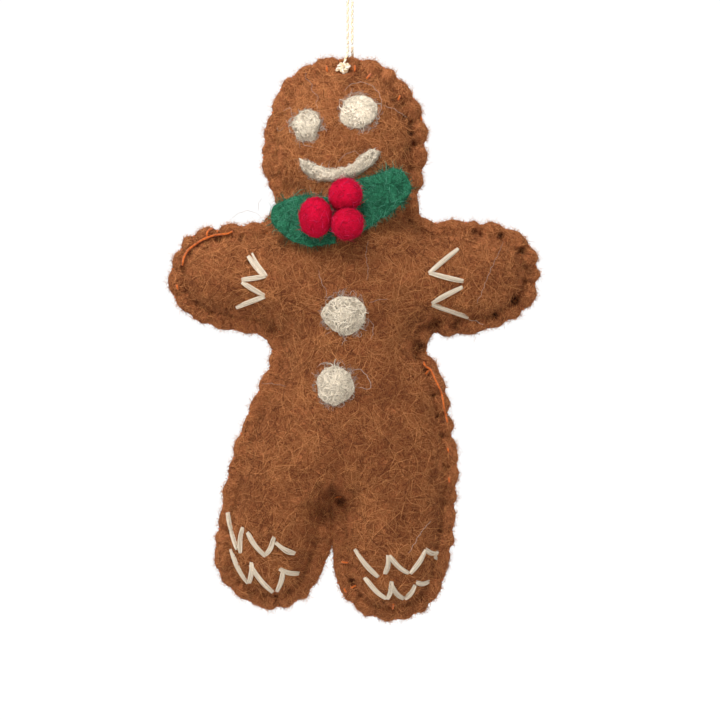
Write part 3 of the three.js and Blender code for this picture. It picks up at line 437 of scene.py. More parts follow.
def felted_wool(name, deep, body, tip, strand, relief, lines=0.75):
    """Wool felt, made by needling loose wool into a mat. Tangled strands run every way over locks a few millimetres
    wide, dark in the gaps between them; no gloss, a faint sheen where loose ends catch the light. Each layer of
    strands is the contour lines of a distorted noise, which wander and close on themselves as curled wool does:
    the noise times its number of lines, folded up and down, and bright where the fold is near nothing. The real
    fibres are about 0.03 mm thick, so strands are drawn 0.2 mm wide, as the finest that the eye makes out."""
    material, tree = finish(name)
    place = millimetres(tree)
    locks = node(tree, "ShaderNodeTexNoise", {"Vector": place, "Scale": 0.16, "Detail": 2.0, "Distortion": 0.8})
    gaps = node(tree, "ShaderNodeTexNoise", {
        "Vector": place, "Scale": 0.8 / strand, "Detail": 4.0, "Roughness": 0.7, "Distortion": 2.2})
    both = node(tree, "ShaderNodeMix", {0: 0.66, 2: locks, 3: gaps})
    colour = node(tree, "ShaderNodeValToRGB", {0: both}, stops=[(0.37, deep), (0.66, tip), (0.5, body)])
    height = gaps
    for size, worn, share in ((3.1, deep, 0.9), (2.3, tip, 0.85), (1.6, tip, 0.75), (1.1, body, 0.8)):
        moved = node(tree, "ShaderNodeVectorMath", {0: place, 1: (size * 31, size * 17, size * 53)})
        field = node(tree, "ShaderNodeTexNoise", {
            "Vector": moved, "Scale": 1 / size, "Detail": 1.5, "Roughness": 0.55, "Distortion": 1.1})
        many = node(tree, "ShaderNodeMath", {0: field, 1: 2 * size / strand}, operation="MULTIPLY")
        fold = node(tree, "ShaderNodeMath", {0: many, 1: 0.5}, operation="PINGPONG")
        line = node(tree, "ShaderNodeMapRange", {0: fold, 1: 0.05, 2: 0.2, 3: lines * share, 4: 0.0})
        colour = node(tree, "ShaderNodeMix", {0: line, 6: colour, 7: worn}, out=2, data_type="RGBA")
        height = node(tree, "ShaderNodeMath", {0: line, 1: 0.35, 2: height}, operation="MULTIPLY_ADD")
    # Painted shade: the colour darkens towards 0.22 of the deep colour by the piece's attribute of painted shade, laid
    # on its creases, grooves, needle holes and pits
    hollow = node(tree, "ShaderNodeAttribute", out="Fac", attribute_name="hollow")
    dark = tuple(c * 0.22 for c in deep[:3]) + (1.0,)
    colour = node(tree, "ShaderNodeMix", {0: hollow, 6: colour, 7: dark}, out=2, data_type="RGBA")
    bump = node(tree, "ShaderNodeBump", {"Height": height, "Distance": relief * MM, "Strength": 0.7})
    shader = node(tree, "ShaderNodeBsdfPrincipled", {
        "Base Color": colour, "Roughness": 0.95, "Specular IOR Level": 0.08, "Sheen Weight": 0.1,
        "Sheen Roughness": 0.5, "Sheen Tint": tip, "Normal": bump})
    node(tree, "ShaderNodeOutputMaterial", {0: shader})
    return material


def loose_wool(name, deep, body, tip):
    """Single curled wool fibres on top of the felt. Each has a tone of its own, from its piece's tone attribute,
    and is drawn 0.04 to 0.2 mm thick, as the finest locks show."""
    material, tree = finish(name)
    tone = node(tree, "ShaderNodeAttribute", out="Fac", attribute_name="tone")
    colour = node(tree, "ShaderNodeValToRGB", {0: tone}, stops=[(0.0, deep), (1.0, tip), (0.5, body)])
    shader = node(tree, "ShaderNodeBsdfPrincipled", {
        "Base Color": colour, "Roughness": 0.85, "Specular IOR Level": 0.15, "Sheen Weight": 0.05,
        "Sheen Roughness": 0.5, "Sheen Tint": tip})
    node(tree, "ShaderNodeOutputMaterial", {0: shader})
    return material


def spun_thread(name, first, second, grain, roughness):
    """Spun thread or floss: its plies lie in turns from the mesh, each with the tone of its tone attribute; a fine
    grain of fibres a few tenths of a millimetre long breaks up the light."""
    material, tree = finish(name)
    tone = node(tree, "ShaderNodeAttribute", out="Fac", attribute_name="tone")
    fibre = node(tree, "ShaderNodeTexNoise", {
        "Vector": millimetres(tree), "Scale": 1 / grain, "Detail": 3.0, "Roughness": 0.6, "Distortion": 1.0})
    mixed = node(tree, "ShaderNodeMix", {0: tone, 6: first, 7: second}, out=2, data_type="RGBA")
    worn = tuple(c * 0.72 for c in first[:3]) + (1.0,)
    spots = node(tree, "ShaderNodeMapRange", {0: fibre, 1: 0.35, 2: 0.6, 3: 0.55, 4: 0.0})
    colour = node(tree, "ShaderNodeMix", {0: spots, 6: mixed, 7: worn}, out=2, data_type="RGBA")
    bump = node(tree, "ShaderNodeBump", {"Height": fibre, "Distance": 0.08 * MM})
    shader = node(tree, "ShaderNodeBsdfPrincipled", {
        "Base Color": colour, "Roughness": roughness, "Specular IOR Level": 0.35, "Sheen Weight": 0.2,
        "Normal": bump})
    node(tree, "ShaderNodeOutputMaterial", {0: shader})
    return material


def paper(name):
    """Matt white paper. It glows where the camera sees it, straight or in a gloss, so that it shows as plain white,
    and throws no more light on the figure than paper does."""
    material, tree = finish(name)
    path = node(tree, "ShaderNodeLightPath").node.outputs
    seen = node(tree, "ShaderNodeMath", {0: path["Is Camera Ray"], 1: path["Is Glossy Ray"]}, operation="MAXIMUM")
    seen = node(tree, "ShaderNodeMath", {0: seen, 1: path["Is Transmission Ray"]}, operation="MAXIMUM")
    share = node(tree, "ShaderNodeMath", {0: seen, 1: 0.92}, operation="MULTIPLY")
    plain = node(tree, "ShaderNodeBsdfDiffuse", {0: srgb("f4f3f1")})
    white = node(tree, "ShaderNodeEmission", {0: (1, 1, 1, 1), 1: 1.08})
    both = node(tree, "ShaderNodeMixShader", {0: share, 1: plain, 2: white})
    node(tree, "ShaderNodeOutputMaterial", {0: both})
    return material


def shades(name, *shares):
    """The colour of this name from the settings, brightened or darkened by shares of its red, green and blue."""
    colour = getattr(bpy.context.scene.felt_figure, name)
    return [(*(min(c * f, 1.0) for c, f in zip(colour, share)), 1.0) for share in shares]


# Deep, body and tip colours as shares of a setting's red, green and blue: the felt's, then the loose wool's
BROWN = ((0.36, 0.29, 0.3), (0.92, 0.88, 0.85), (1.7, 1.95, 1.9))
LOOSE_BROWN = ((0.42, 0.34, 0.3), (1.05, 1.08, 0.95), (2.2, 2.9, 2.7))
CREAM = ((0.45, 0.42, 0.37), (0.84, 0.82, 0.79), (1.2, 1.2, 1.2))
LOOSE_CREAM = ((0.5, 0.46, 0.42), (0.95, 0.95, 0.94), (1.2, 1.2, 1.2))
GREEN = ((0.3, 0.3, 0.34), (1.0, 1.0, 1.0), (3.2, 2.1, 2.3))
LOOSE_GREEN = ((0.35, 0.4, 0.42), (1.3, 1.1, 1.15), (6.0, 2.7, 3.6))
RED = ((0.6, 0.4, 0.5), (1.0, 1.0, 1.0), (1.2, 2.0, 1.4))
LOOSE_RED = ((0.6, 0.6, 0.6), (0.98, 1.2, 1.1), (1.3, 12.0, 4.0))
FLOSS_TONES = ((1.1, 1.1, 1.08), (0.66, 0.62, 0.56))
FINISHES = {
    "brown_felt": lambda: felted_wool("Brown Wool Felt", *shades("brown", *BROWN), 0.6, 0.3),
    "brown_wool": lambda: loose_wool("Loose Brown Wool", *shades("brown", *LOOSE_BROWN)),
    "stuffing": lambda: felted_wool("Polyester Stuffing", srgb("cfc9bc"), srgb("e9e4da"), srgb("f6f3ec"), 1.5, 0.5),
    "cream_felt": lambda: felted_wool("Cream Needled Wool", *shades("cream", *CREAM), 0.7, 0.3),
    "cream_wool": lambda: loose_wool("Loose Cream Wool", *shades("cream", *LOOSE_CREAM)),
    "green_felt": lambda: felted_wool("Green Wool Felt", *shades("green", *GREEN), 0.6, 0.3, 0.65),
    "green_wool": lambda: loose_wool("Loose Green Wool", *shades("green", *LOOSE_GREEN)),
    "red_felt": lambda: felted_wool("Red Felt Ball", *shades("red", *RED), 0.5, 0.15, 0.4),
    "red_wool": lambda: loose_wool("Loose Red Wool", *shades("red", *LOOSE_RED)),
    "lilac_wool": lambda: loose_wool("Stray Pale Wool", srgb("8f7b75"), srgb("b8a598"), srgb("e2d5c6")),
    "orange_thread": lambda: spun_thread("Orange Sewing Thread", srgb("d46a1f"), srgb("ae541a"), 0.5, 0.8),
    "cream_floss": lambda: spun_thread("Cream Embroidery Floss", *shades("floss", *FLOSS_TONES), 0.7, 0.6),
    "cream_cord": lambda: spun_thread("Cream Hanging Thread", srgb("f3e8d4"), srgb("e6caa0"), 0.5, 0.7),
    "paper": lambda: paper("White Paper Sweep"),
}
made_finishes = {}


def material_of(name):
    """The finish of this name, made when it is first asked for."""
    if name not in made_finishes:
        made_finishes[name] = FINISHES[name]()
    return made_finishes[name]


# The stuffed felt form


class Felt:
    """The cut-out's edge, its stitches and the swell of the two felts, in millimetres. Places are x and z; the
    front felt lies towards -Y."""

    # The insets of the rows across the rim, and the number of rows from the last of them to the spine
    rim_rows = np.array([
        0, 0.05, 0.16, 0.34, 0.6, 0.95, 1.35, 1.75, 2.1, 2.45, 2.75, 3.05, 3.35, 3.7, 4.15, 4.65, RING_INSET])
    inner_rows = 24
    # The cells of the swell's grid and of the relief's, and the room that both leave round the figure
    cell = 0.5
    map_cell = 0.4
    margin = 6.0
    # The step along the swell line, and half of the one that gives the edge its direction
    line_step = 0.4
    edge_step = 0.2
    # How far a stitch draws the edge in on each side of it, and how wide its needle hole is
    stitch_reach = 1.15
    hole_width = 0.55
    # How far the filling keeps off the felts and at its spine, and its least depth on each side
    filling_gap = 0.5
    spine_gap = 0.8
    least_filling = 0.3

    def __init__(self, height, span, depth, thickness, pitch):
        self.height, self.span, self.depth, self.thickness = height, span, depth, thickness
        steps = 80
        fine = spline(self.place([row[:2] for row in OUTLINE]), steps, closed=True)
        self.fine = np.vstack([fine, fine[:1]])
        self.fine_at = walked(self.fine)
        self.length = self.fine_at[-1]
        self.row_at = np.append(self.fine_at[:-1:steps], self.length)
        self.row_pull = [row[3] for row in OUTLINE + OUTLINE[:1]]
        count = round(self.length / pitch)
        chance = np.random.default_rng(11)
        self.holes = (np.arange(count) + 0.5) * (self.length / count) + chance.uniform(-1.0, 1.0, count)
        self.pull = np.interp(self.holes, self.row_at, self.row_pull) * chance.uniform(0.35, 1.35, count)
        self.low = np.array([-span / 2 - self.margin, TOP - height - self.margin])
        self.shape = tuple(int((size + 2 * self.margin) / self.cell) + 1 for size in (height, span))
        self.swell()
        self.columns()
        self.maps = {}
        self.grids = {side: self.grid(side) for side in (-1, 1)}

    def place(self, shares):
        """Places from shares: x of half the arm span from the hanging line, z of the height down from the top."""
        shares = np.asarray(shares, float)
        return np.stack([HANG_X + shares[..., 0] * self.span / 2, TOP - shares[..., 1] * self.height], -1)

    def edge(self, along, inset):
        """The closed edge curve at these lengths along it, less its outward normal times the inset."""
        here, behind, ahead = (met(self.fine, self.fine_at, np.mod(along + step, self.length))
                               for step in (0.0, -self.edge_step, self.edge_step))
        return here - right_of(unit(ahead - behind)) * np.asarray(inset)[..., None]

    def swell(self):
        """The depth of the felt's inner face on a square grid. The room at a place is a mean of its distances to
        the swell line in all directions: the root of pi / 2 over the line integral of the line's outward normal
        times the offset, over the fourth power of the distance. The depth grows with the root of the room's share
        of the belly's. The outer face is one thickness further out, square to the slope up to a limit."""
        n = int(round(self.length / self.line_step))
        line = self.edge(np.arange(n) / n * self.length, np.full(n, SWELL_INSET))
        ahead = np.roll(line, -1, 0)
        middle, run = (line + ahead) / 2, ahead - line
        outward = right_of(run)

        def room(places):
            d = middle - places[..., None, :]
            square = (d * d).sum(-1)
            total = ((outward * d).sum(-1) / (square * square)).sum(-1)
            return np.where(total > 0, np.sqrt(np.pi / 2 / np.maximum(total, 1e-12)), 0)

        x = self.low[0] + self.cell * np.arange(self.shape[1])
        z = self.low[1] + self.cell * np.arange(self.shape[0])
        rooms = np.array([room(np.stack([x, np.full(len(x), row)], -1)) for row in z])
        share = rooms / room(self.place([SPINE["belly"]]))[0]
        rise = (np.sqrt(share + SOFTNESS) - math.sqrt(SOFTNESS)) / (math.sqrt(1 + SOFTNESS) - math.sqrt(SOFTNESS))
        swell = self.depth / 2 - self.thickness - PANEL_GAP / 2
        self.inner = PANEL_GAP / 2 + swell * rise
        slope = np.gradient(self.inner, self.cell)
        steep = np.minimum(np.sqrt(1 + slope[0] ** 2 + slope[1] ** 2), STRETCH_LIMIT)
        self.outer = self.inner + self.thickness * steep

    def looked_up(self, table, places, cell):
        """A value between the four nearest ones of a table on a square grid, by their nearness."""
        at = np.clip((np.asarray(places) - self.low) / cell, 0, np.array(table.shape)[::-1] - 1.001)
        column, row = np.moveaxis(at.astype(int), -1, 0)
        x, z = np.moveaxis(at - at.astype(int), -1, 0)
        lower = table[row, column] * (1 - x) + table[row, column + 1] * x
        upper = table[row + 1, column] * (1 - x) + table[row + 1, column + 1] * x
        return lower * (1 - z) + upper * z

    def columns(self):
        """Lines from the edge to the spine: their lengths along the edge, and the spine place and number that each
        ends on. Between two outline rows that face two spine points, the ends walk from one to the other in as
        many steps as on the way back, so that both sides of a limb meet."""
        names = list(SPINE)
        spine = self.place(list(SPINE.values()))
        facing = [names.index(row[2]) for row in OUTLINE]
        legs = list(zip(facing, facing[1:] + facing[:1], self.row_at, self.row_at[1:]))
        steps, first, total = {}, {}, len(names)
        for a, b, low, high in legs:
            if a != b:
                key = (min(a, b), max(a, b))
                steps[key] = max(steps.get(key, 0), math.ceil((high - low) / COLUMN_PITCH))
        for key, count in steps.items():
            first[key] = total
            total += count - 1
        along, ids, ends = [], [], []
        for a, b, low, high in legs:
            key = (min(a, b), max(a, b))
            count = steps.get(key) or math.ceil((high - low) / COLUMN_PITCH)
            j = np.arange(count)
            step = j if a <= b else count - j
            along.append(low + (high - low) * j / count)
            ids.append(np.where((j == 0) | (a == b), a, first.get(key, 0) + step - 1))
            ends.append(spine[a] + (spine[b] - spine[a]) * (j / count)[:, None])
        self.along, self.ids, self.ends = np.concatenate(along), np.concatenate(ids), np.vstack(ends)
        self.spine = np.zeros((total, 2))
        self.spine[self.ids] = self.ends
        right = np.searchsorted(self.holes, self.along) % len(self.holes)
        left = (right - 1) % len(self.holes)
        gaps = [np.abs((self.along - self.holes[k] + self.length / 2) % self.length - self.length / 2)
                for k in (left, right)]
        self.to_hole = np.minimum(*gaps)
        self.strength = self.pull[np.where(gaps[0] < gaps[1], left, right)]

    def grid(self, side):
        """The outer face of one felt as rows of columns from the edge to the spine, with the painted shade at each
        point.
        Across the rim the depth is the swell's, rounded off at the edge as a quarter ellipse, less a trough along
        the needle line, a pit at each stitch and a groove from it to the edge, plus a puff between two stitches.
        The stuffing and the wool make it uneven: noise of 8 mm and of 2.4 mm cells."""
        close = bell(self.to_hole, self.stitch_reach)
        near = close * self.strength
        tight = bell(self.to_hole, self.hole_width) * self.strength
        ragged = bumps(np.stack([self.along, 0 * self.along], -1), 5, (0.2, 1.7), (0.2, 4.1), (0.07, 0.7))
        closed = smooth(np.abs(self.along - self.along_of(LEGS_PART)), 22.0, 16.0)
        lobes = close * np.clip(self.strength, 0.6, 1.1)
        self.trim = trim = -0.45 + 0.95 * lobes * (1 - closed) + ragged
        inset = trim + (RING_INSET - trim) * (self.rim_rows / RING_INSET)[:, None]
        rim = self.edge(self.along[None] + 0 * inset, inset)
        share = (np.arange(1, self.inner_rows + 1) / self.inner_rows)[:, None, None]
        places = np.concatenate([rim, rim[-1] + (self.ends - rim[-1]) * share])
        inset = np.concatenate([inset, np.full((self.inner_rows, inset.shape[1]), 50.0)])
        base = self.looked_up(self.outer, places, self.cell)
        drawn = np.interp(self.along, self.row_at, self.row_pull)
        wide = 2.3 + 2.7 * (1 - np.clip(drawn, 0, 1))
        depth = PANEL_GAP / 2 + (base - PANEL_GAP / 2) * np.sqrt(1 - (1 - np.clip((inset - trim) / wide, 0, 1)) ** 2)
        trough = drawn * bell(inset - SEAM_INSET, 1.1)
        groove = smooth(inset, SEAM_INSET + 0.9, SEAM_INSET - 0.3)
        depth -= drawn * trough * 0.12 + 0.6 * near * groove
        depth -= 1.1 * tight * bell(inset - SEAM_INSET, 0.65)
        depth += 0.25 * np.clip(drawn, 0.2, 1) * (1 - np.minimum(near, 1)) * bell(inset - 1.4, 1.1)
        lumps = np.concatenate([places, np.full((*places.shape[:-1], 1), side * 40.0)], -1)
        depth += bumps(lumps, 3, (0.32, 8.0), (0.14, 2.4)) * smooth(inset - trim, 0, 2.0)
        floor = self.looked_up(self.inner, places, self.cell) + 0.3
        depth = np.where(inset - trim > 0.01, np.maximum(depth, np.minimum(floor, base)), PANEL_GAP / 2)
        # Painted shade, kept per point: dark in the needle holes, less along the groove from each hole to the edge,
        # faint along the needle line's trough
        hollow = 0.12 * tight * groove + 0.5 * tight * bell(inset - SEAM_INSET, self.hole_width)
        hollow = hollow + 0.06 * drawn * trough
        # Each pit is carved into the front felt and darkened with painted shade
        for x, down, radius, dark in SHADED_PITS if side < 0 else ():
            far = np.linalg.norm(places - self.seen((x, down), PIT_LEVEL)[0], axis=-1) / radius
            hole = np.exp(-((far / 1.1) ** 3))
            depth -= hole * 1.2 * min(radius, 1.0) * smooth(inset - trim, 0.5, 2.0)
            hollow = np.maximum(hollow, 1.15 * dark * hole)
        grid = raised(places, side * depth)
        self.maps[side] = self.relief(grid)
        return grid, np.clip(hollow, 0, 0.93)

    def relief(self, grid):
        """The depth of a felt's outer face on a square grid: the mean of the points in each cell, and of the
        neighbouring cells where a cell has none."""
        size = tuple(int(n * self.cell / self.map_cell) + 2 for n in self.shape)
        total, count = np.zeros(size), np.zeros(size)
        cell = np.rint((grid[..., [0, 2]] - self.low) / self.map_cell).astype(int).reshape(-1, 2)
        np.add.at(total, (cell[:, 1], cell[:, 0]), np.abs(grid[..., 1]).ravel())
        np.add.at(count, (cell[:, 1], cell[:, 0]), 1)
        for _ in range(3):
            spread = sum(np.roll(total, (i, j), (0, 1)) for i in (-1, 0, 1) for j in (-1, 0, 1))
            near = sum(np.roll(count, (i, j), (0, 1)) for i in (-1, 0, 1) for j in (-1, 0, 1))
            empty = (count == 0) & (near > 0)
            total[empty], count[empty] = (spread / np.maximum(near, 1))[empty], 1
        return total / np.maximum(count, 1)

    def face(self, places, side=-1):
        """How far the outer face of a felt stands out from the seam plane."""
        return self.looked_up(self.maps[side], places, self.map_cell)

    def along_of(self, shares):
        """The length along the edge of the edge's nearest place to this one."""
        return self.fine_at[np.argmin(np.linalg.norm(self.fine - self.place(shares), axis=1))]

    def seen(self, shares, depth=None):
        """The places at a depth, or on the front felt, that the camera sees where it would see these places in the
        seam plane; and how much smaller a size is there."""
        places = self.place(shares)
        depth = self.face(places) if depth is None else depth
        near = (1 + np.asarray(depth) / EYE[1])[..., None]
        return EYE[[0, 2]] + (places - EYE[[0, 2]]) * near, near

    def panel(self, side):
        """One felt as a closed form: its outer face, and an inner face at the swell's depth, joined at the edge."""
        grid, hollow = self.grids[side]
        rows, n = grid.shape[:2]
        outer = grid[:-1]
        ids = np.arange(outer.size // 3).reshape(rows - 1, n)
        spine = raised(self.spine, 0 * self.spine[:, 0])
        spine[self.ids, 1] = grid[-1, :, 1]
        share = np.array([0.35, 0.7])[:, None, None]
        start = self.edge(self.along, np.full(n, RING_INSET))
        places = np.concatenate([
            [self.edge(self.along, np.full(n, inset)) for inset in (1.5, SWELL_INSET, RING_INSET)],
            start + (self.ends - start) * share])
        inside = raised(places, side * self.looked_up(self.inner, places, self.cell))
        lining = raised(self.spine, side * self.looked_up(self.inner, self.spine, self.cell))
        points = np.vstack([outer.reshape(-1, 3), spine, inside.reshape(-1, 3), lining])
        first = outer.size // 3
        inner_ids = first + len(spine) + np.arange(inside.size // 3).reshape(-1, n)
        faces = bands(ids) + between(ids[-1], first + self.ids)
        back = between(ids[0], inner_ids[0]) + bands(inner_ids)
        back += between(inner_ids[-1], inner_ids[-1, -1] + 1 + self.ids)
        faces += flipped(back)
        # The outer face's points carry their painted shade as an attribute
        values = np.zeros(len(points))
        values[:first] = hollow[:-1].ravel()
        return points, flipped(faces) if side > 0 else faces, values

    def stuffing(self):
        """The stuffing as one closed form: the swell less 0.5 mm on each side, with soft lumps, rounded to nothing
        at the ring inside the seam."""
        n = len(self.along)
        start = self.edge(self.along, np.full(n, RING_INSET))
        share = np.array([0, 0.02, 0.06, 0.14, 0.28, 0.45, 0.62, 0.8])[:, None, None]
        places = start + (self.ends - start) * share
        full = np.maximum(self.looked_up(self.inner, places, self.cell) - self.filling_gap, self.least_filling)
        depth = full * np.sqrt(1 - (1 - np.clip(share[..., 0] / 0.14, 0, 1)) ** 2)
        depth = depth - 0.25 * smooth(depth, 0.5, 2) * (1 + lattice_noise(places, 3.5, 9))
        middle = self.looked_up(self.inner, self.spine, self.cell) - self.spine_gap
        middle = np.maximum(middle, self.least_filling)
        points, faces = [], []
        for side in (-1, 1):
            first = sum(map(len, points))
            points += [raised(places, side * depth).reshape(-1, 3), raised(self.spine, side * middle)]
            ids = first + np.arange(places.size // 2).reshape(-1, n)
            ids[0] = np.arange(n)
            found = bands(ids) + between(ids[-1], first + places.size // 2 + self.ids)
            faces += flipped(found) if side > 0 else found
        points = np.vstack(points)
        used = np.unique(np.concatenate([f.ravel() for f in faces]))
        renumbered = np.zeros(len(points), int)
        renumbered[used] = np.arange(len(used))
        return points[used], [renumbered[f] for f in faces]


made_felts = {}


def felt_of(context):
    """The felt form of the present settings, worked out once."""
    s = context.scene.felt_figure
    sizes = (s.figure_height, s.arm_span, s.body_depth, s.felt_thickness, s.stitch_pitch)
    sizes = tuple(round(size / MM, 4) for size in sizes)
    if sizes not in made_felts:
        made_felts[sizes] = Felt(*sizes)
    return made_felts[sizes]


# Wool


def scattered(grid, count, chance, side, weight):
    """Random places on a grid of points, alike for each bit of area, and the directions outwards there: a place
    between a cell's four corners by two random shares, and the cross product of the cell's two directions."""
    a, b = grid[:-1], np.roll(grid[:-1], -1, 1)
    c, d = np.roll(grid[1:], -1, 1), grid[1:]
    square = np.cross(c - a, d - b)
    area = np.linalg.norm(square, axis=-1)
    if weight is not None:
        area = area * weight
    cell = chance.choice(area.size, count, p=area.ravel() / area.sum())
    u, v = chance.random((2, count, 1))
    corners = [x.reshape(-1, 3)[cell] for x in (a, b, c, d)]
    places = (corners[0] * (1 - u) + corners[1] * u) * (1 - v) + (corners[3] * (1 - u) + corners[2] * u) * v
    return places, unit(square.reshape(-1, 3)[cell]) * -side


def hairs(paths, thickness, tone, outward):
    """Fibres along paths (n, k, 3) of this thickness (n,), thin at both ends, three-sided, with a tone per fibre."""
    n, k = paths.shape[:2]
    swell = np.sin(np.pi * np.linspace(0.12, 0.88, k)) ** 0.5
    points, faces = tubes(paths, thickness[:, None] / 2 * swell, unit(outward + 0.01))
    return points, faces, np.repeat(tone, len(points) // n)


def standing(grid, count, length, thickness, seed, side=-1, weight=None, *, rise, tone, stations=4, spread=0.2):
    """Loose fibres that stand off a form: from just under its surface along a direction between its outward one
    and a random one across, bent aside as the square of the share of its length, and waved as the sine of it."""
    chance = np.random.default_rng(seed)
    places, outward = scattered(grid, count, chance, side, weight)
    across = unit(np.cross(outward, chance.normal(size=(count, 3))))
    other = np.cross(outward, across)
    lean = chance.uniform(0.1, 1.0, (count, 1)) * rise
    way = unit(outward * lean + across * (1 - lean * 0.5))
    size = length * chance.uniform(0.4, 1.6, (count, 1))
    t = np.linspace(0, 1, stations)[None, :, None]
    bend = other * chance.normal(0, 0.5, (count, 1)) + outward * chance.normal(-0.25, 0.25, (count, 1))
    wave = other * chance.normal(0, 0.14, (count, 1)) + across * chance.normal(0, 0.1, (count, 1))
    path = way[:, None] * t + bend[:, None] * t * t + wave[:, None] * np.sin(2 * np.pi * t)
    paths = places[:, None] - outward[:, None] * 0.12 + path * size[:, None]
    patch = 0.8 * spread * lattice_noise(places, 3.0, seed)
    tones = np.clip(chance.normal(tone, spread, count) + patch, 0, 1)
    return hairs(paths, thickness * chance.uniform(0.6, 1.3, count), tones, outward + 0.3 * other)


def lying(starts, height, count, length, thickness, seed, side=-1, *, tone, drift, bend, stations, near_rim=0.01,
          high=0.42, painted_light=lambda p: 0.0):
    """Fibres that lie on a form: curved walks over the seam plane from some of the starts, whose heading drifts
    from place to place with noise, raised to the form's height there, and arched a little between their ends. Their
    tones are random and patchy; fibres lifted higher are made paler, painted light as on fibres that catch more of
    it, and the function given last adds painted light by place."""
    chance = np.random.default_rng(seed)
    places = starts[chance.integers(0, len(starts), count)]
    size = length * chance.uniform(0.45, 1.55, (count, 1)) / (stations - 1)
    size = size * np.clip(height(places)[:, None] / near_rim, 0.25, 1)
    heading = 2.5 * np.pi * lattice_noise(places, drift, seed % 7)[:, None] + chance.normal(0, 0.9, (count, 1))
    turn = chance.normal(0, bend, (count, 1)) * np.arange(stations) + chance.normal(0, bend / 2, (count, stations))
    steps = pointing(heading + turn) * size[..., None]
    walk = np.cumsum(steps, 1)
    walk += places[:, None] - walk.mean(1, keepdims=True)
    arch = np.sin(np.pi * np.linspace(0, 1, stations)) * chance.uniform(0.0, high, (count, 1)) - 0.06
    lift = chance.uniform(0.0, 0.16, (count, 1))
    paths = raised(walk, side * (height(walk) + lift + arch))
    patch = 0.12 * lattice_noise(places, 5.0, 21)
    # Painted light: paler where a fibre lies higher, and where the function given last says
    tones = np.clip(chance.normal(tone, 0.2, count) + patch + 1.6 * (lift[:, 0] - 0.08) + painted_light(places), 0, 1)
    out = np.tile([0.0, side, 0.0], (count, 1)) + chance.normal(0, 0.1, (count, 3))
    return hairs(paths, thickness * chance.uniform(0.6, 1.4, count), tones, out)


def dressed(name, core, coat, finishes):
    """A felted form and its loose fibres as one piece with two finishes."""
    worn = np.repeat([0, 1], [sum(map(len, form[1])) for form in (core, coat)])
    return add_piece(name, joined((*core, np.zeros(len(core[0]))), coat), finishes, worn=worn)


# Needle-felted shapes: the place of the centre as shares, then its reach in millimetres every 30 degrees round
# from the right, anticlockwise
TUFTS = {
    "eye_left": ((-0.227, 0.1185), (3.25, 3.7, 3.8, 3.8, 3.6, 3.2, 3.25, 3.0, 3.7, 3.75, 4.15, 3.2)),
    "eye_right": ((0.061, 0.0945), (4.15, 4.35, 4.2, 3.9, 4.25, 4.4, 4.4, 4.7, 4.2, 3.9, 3.75, 3.85)),
    "button_upper": ((-0.019, 0.456), (5.2, 5.0, 4.75, 4.5, 4.75, 5.1, 5.35, 4.75, 4.6, 4.9, 4.95, 5.0)),
    "button_lower": ((-0.07, 0.58), (4.65, 4.35, 4.25, 4.6, 4.6, 4.45, 4.35, 4.6, 4.9, 4.85, 4.8, 4.75)),
}


def add_tuft(felt, name, seed):
    """A pad of needled wool on the front felt, with curled strands and loose fibres on it, in place of the node of
    this name: rings round its centre at shares of its reach, which is a smooth closed curve through the measured
    ones. The top stands out from the felt's relief by the rim plus the crown times one less the square of the
    share, uneven by noise, and the underside follows the relief."""
    crown, rim, under = 1.15, 0.45, 0.06
    shares, reach = TUFTS[name]
    centre, near = (v[0] for v in felt.seen([shares]))
    reach = np.array(reach) * near * 0.95
    turn = circle(len(reach))
    outline = spline(pointing(turn) * reach[:, None], 6, closed=True)
    outline = outline * (1 + 0.06 * lattice_noise(outline, 1.3, seed)[:, None])
    scale = np.array([0.45, 0.88, 0.98, 1.0, 0.985, 0.95, 0.88, 0.78, 0.66, 0.53, 0.4, 0.27, 0.14])[:, None]
    places = centre + outline * scale[..., None]
    uneven = bumps(places, seed + 1, (0.17, 1.5), (0.08, 0.7)) * smooth(1 - scale, 0.0, 0.12)
    lift = rim + crown * (1 - scale ** 2) + uneven
    lift[:4] = np.array([under, under, 0.2, 0.36])[:, None]
    rings = raised(places, -(felt.face(places) + lift))
    ends = [raised(centre, -(felt.face(centre[None])[0] + h)) for h in (under, rim + crown + 0.05)]

    def height(p):
        off = p - centre
        far = np.interp(np.arctan2(off[..., 1], off[..., 0]) % (2 * np.pi), turn, reach, period=2 * np.pi)
        far = np.linalg.norm(off, axis=-1) / far
        return felt.face(p) + smooth(far, 1.12, 0.95) * (rim + crown * np.clip(1 - far ** 2, 0, 1))

    # Painted light and shade: the left eye's curls get a darker tone and the right eye's a paler one, as the light
    # falls on them; the buttons' lie between
    tone = {"eye_left": 0.45, "eye_right": 0.8}.get(name, 0.62)
    curls = lying(rings[7:][..., [0, 2]].reshape(-1, 2), height, 430, 3.9, 0.24, seed + 30, tone=tone, drift=1.2,
                  bend=1.3, stations=11, high=0.6)
    loose = standing(rings[2:], 1700, 0.75, 0.045, seed + 60, rise=0.4, tone=0.35)
    core, coat = lofted(rings, *ends), joined(curls, loose)
    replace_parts(dressed(f"{name}_wool", core, coat, ("cream_felt", "cream_wool")), name)


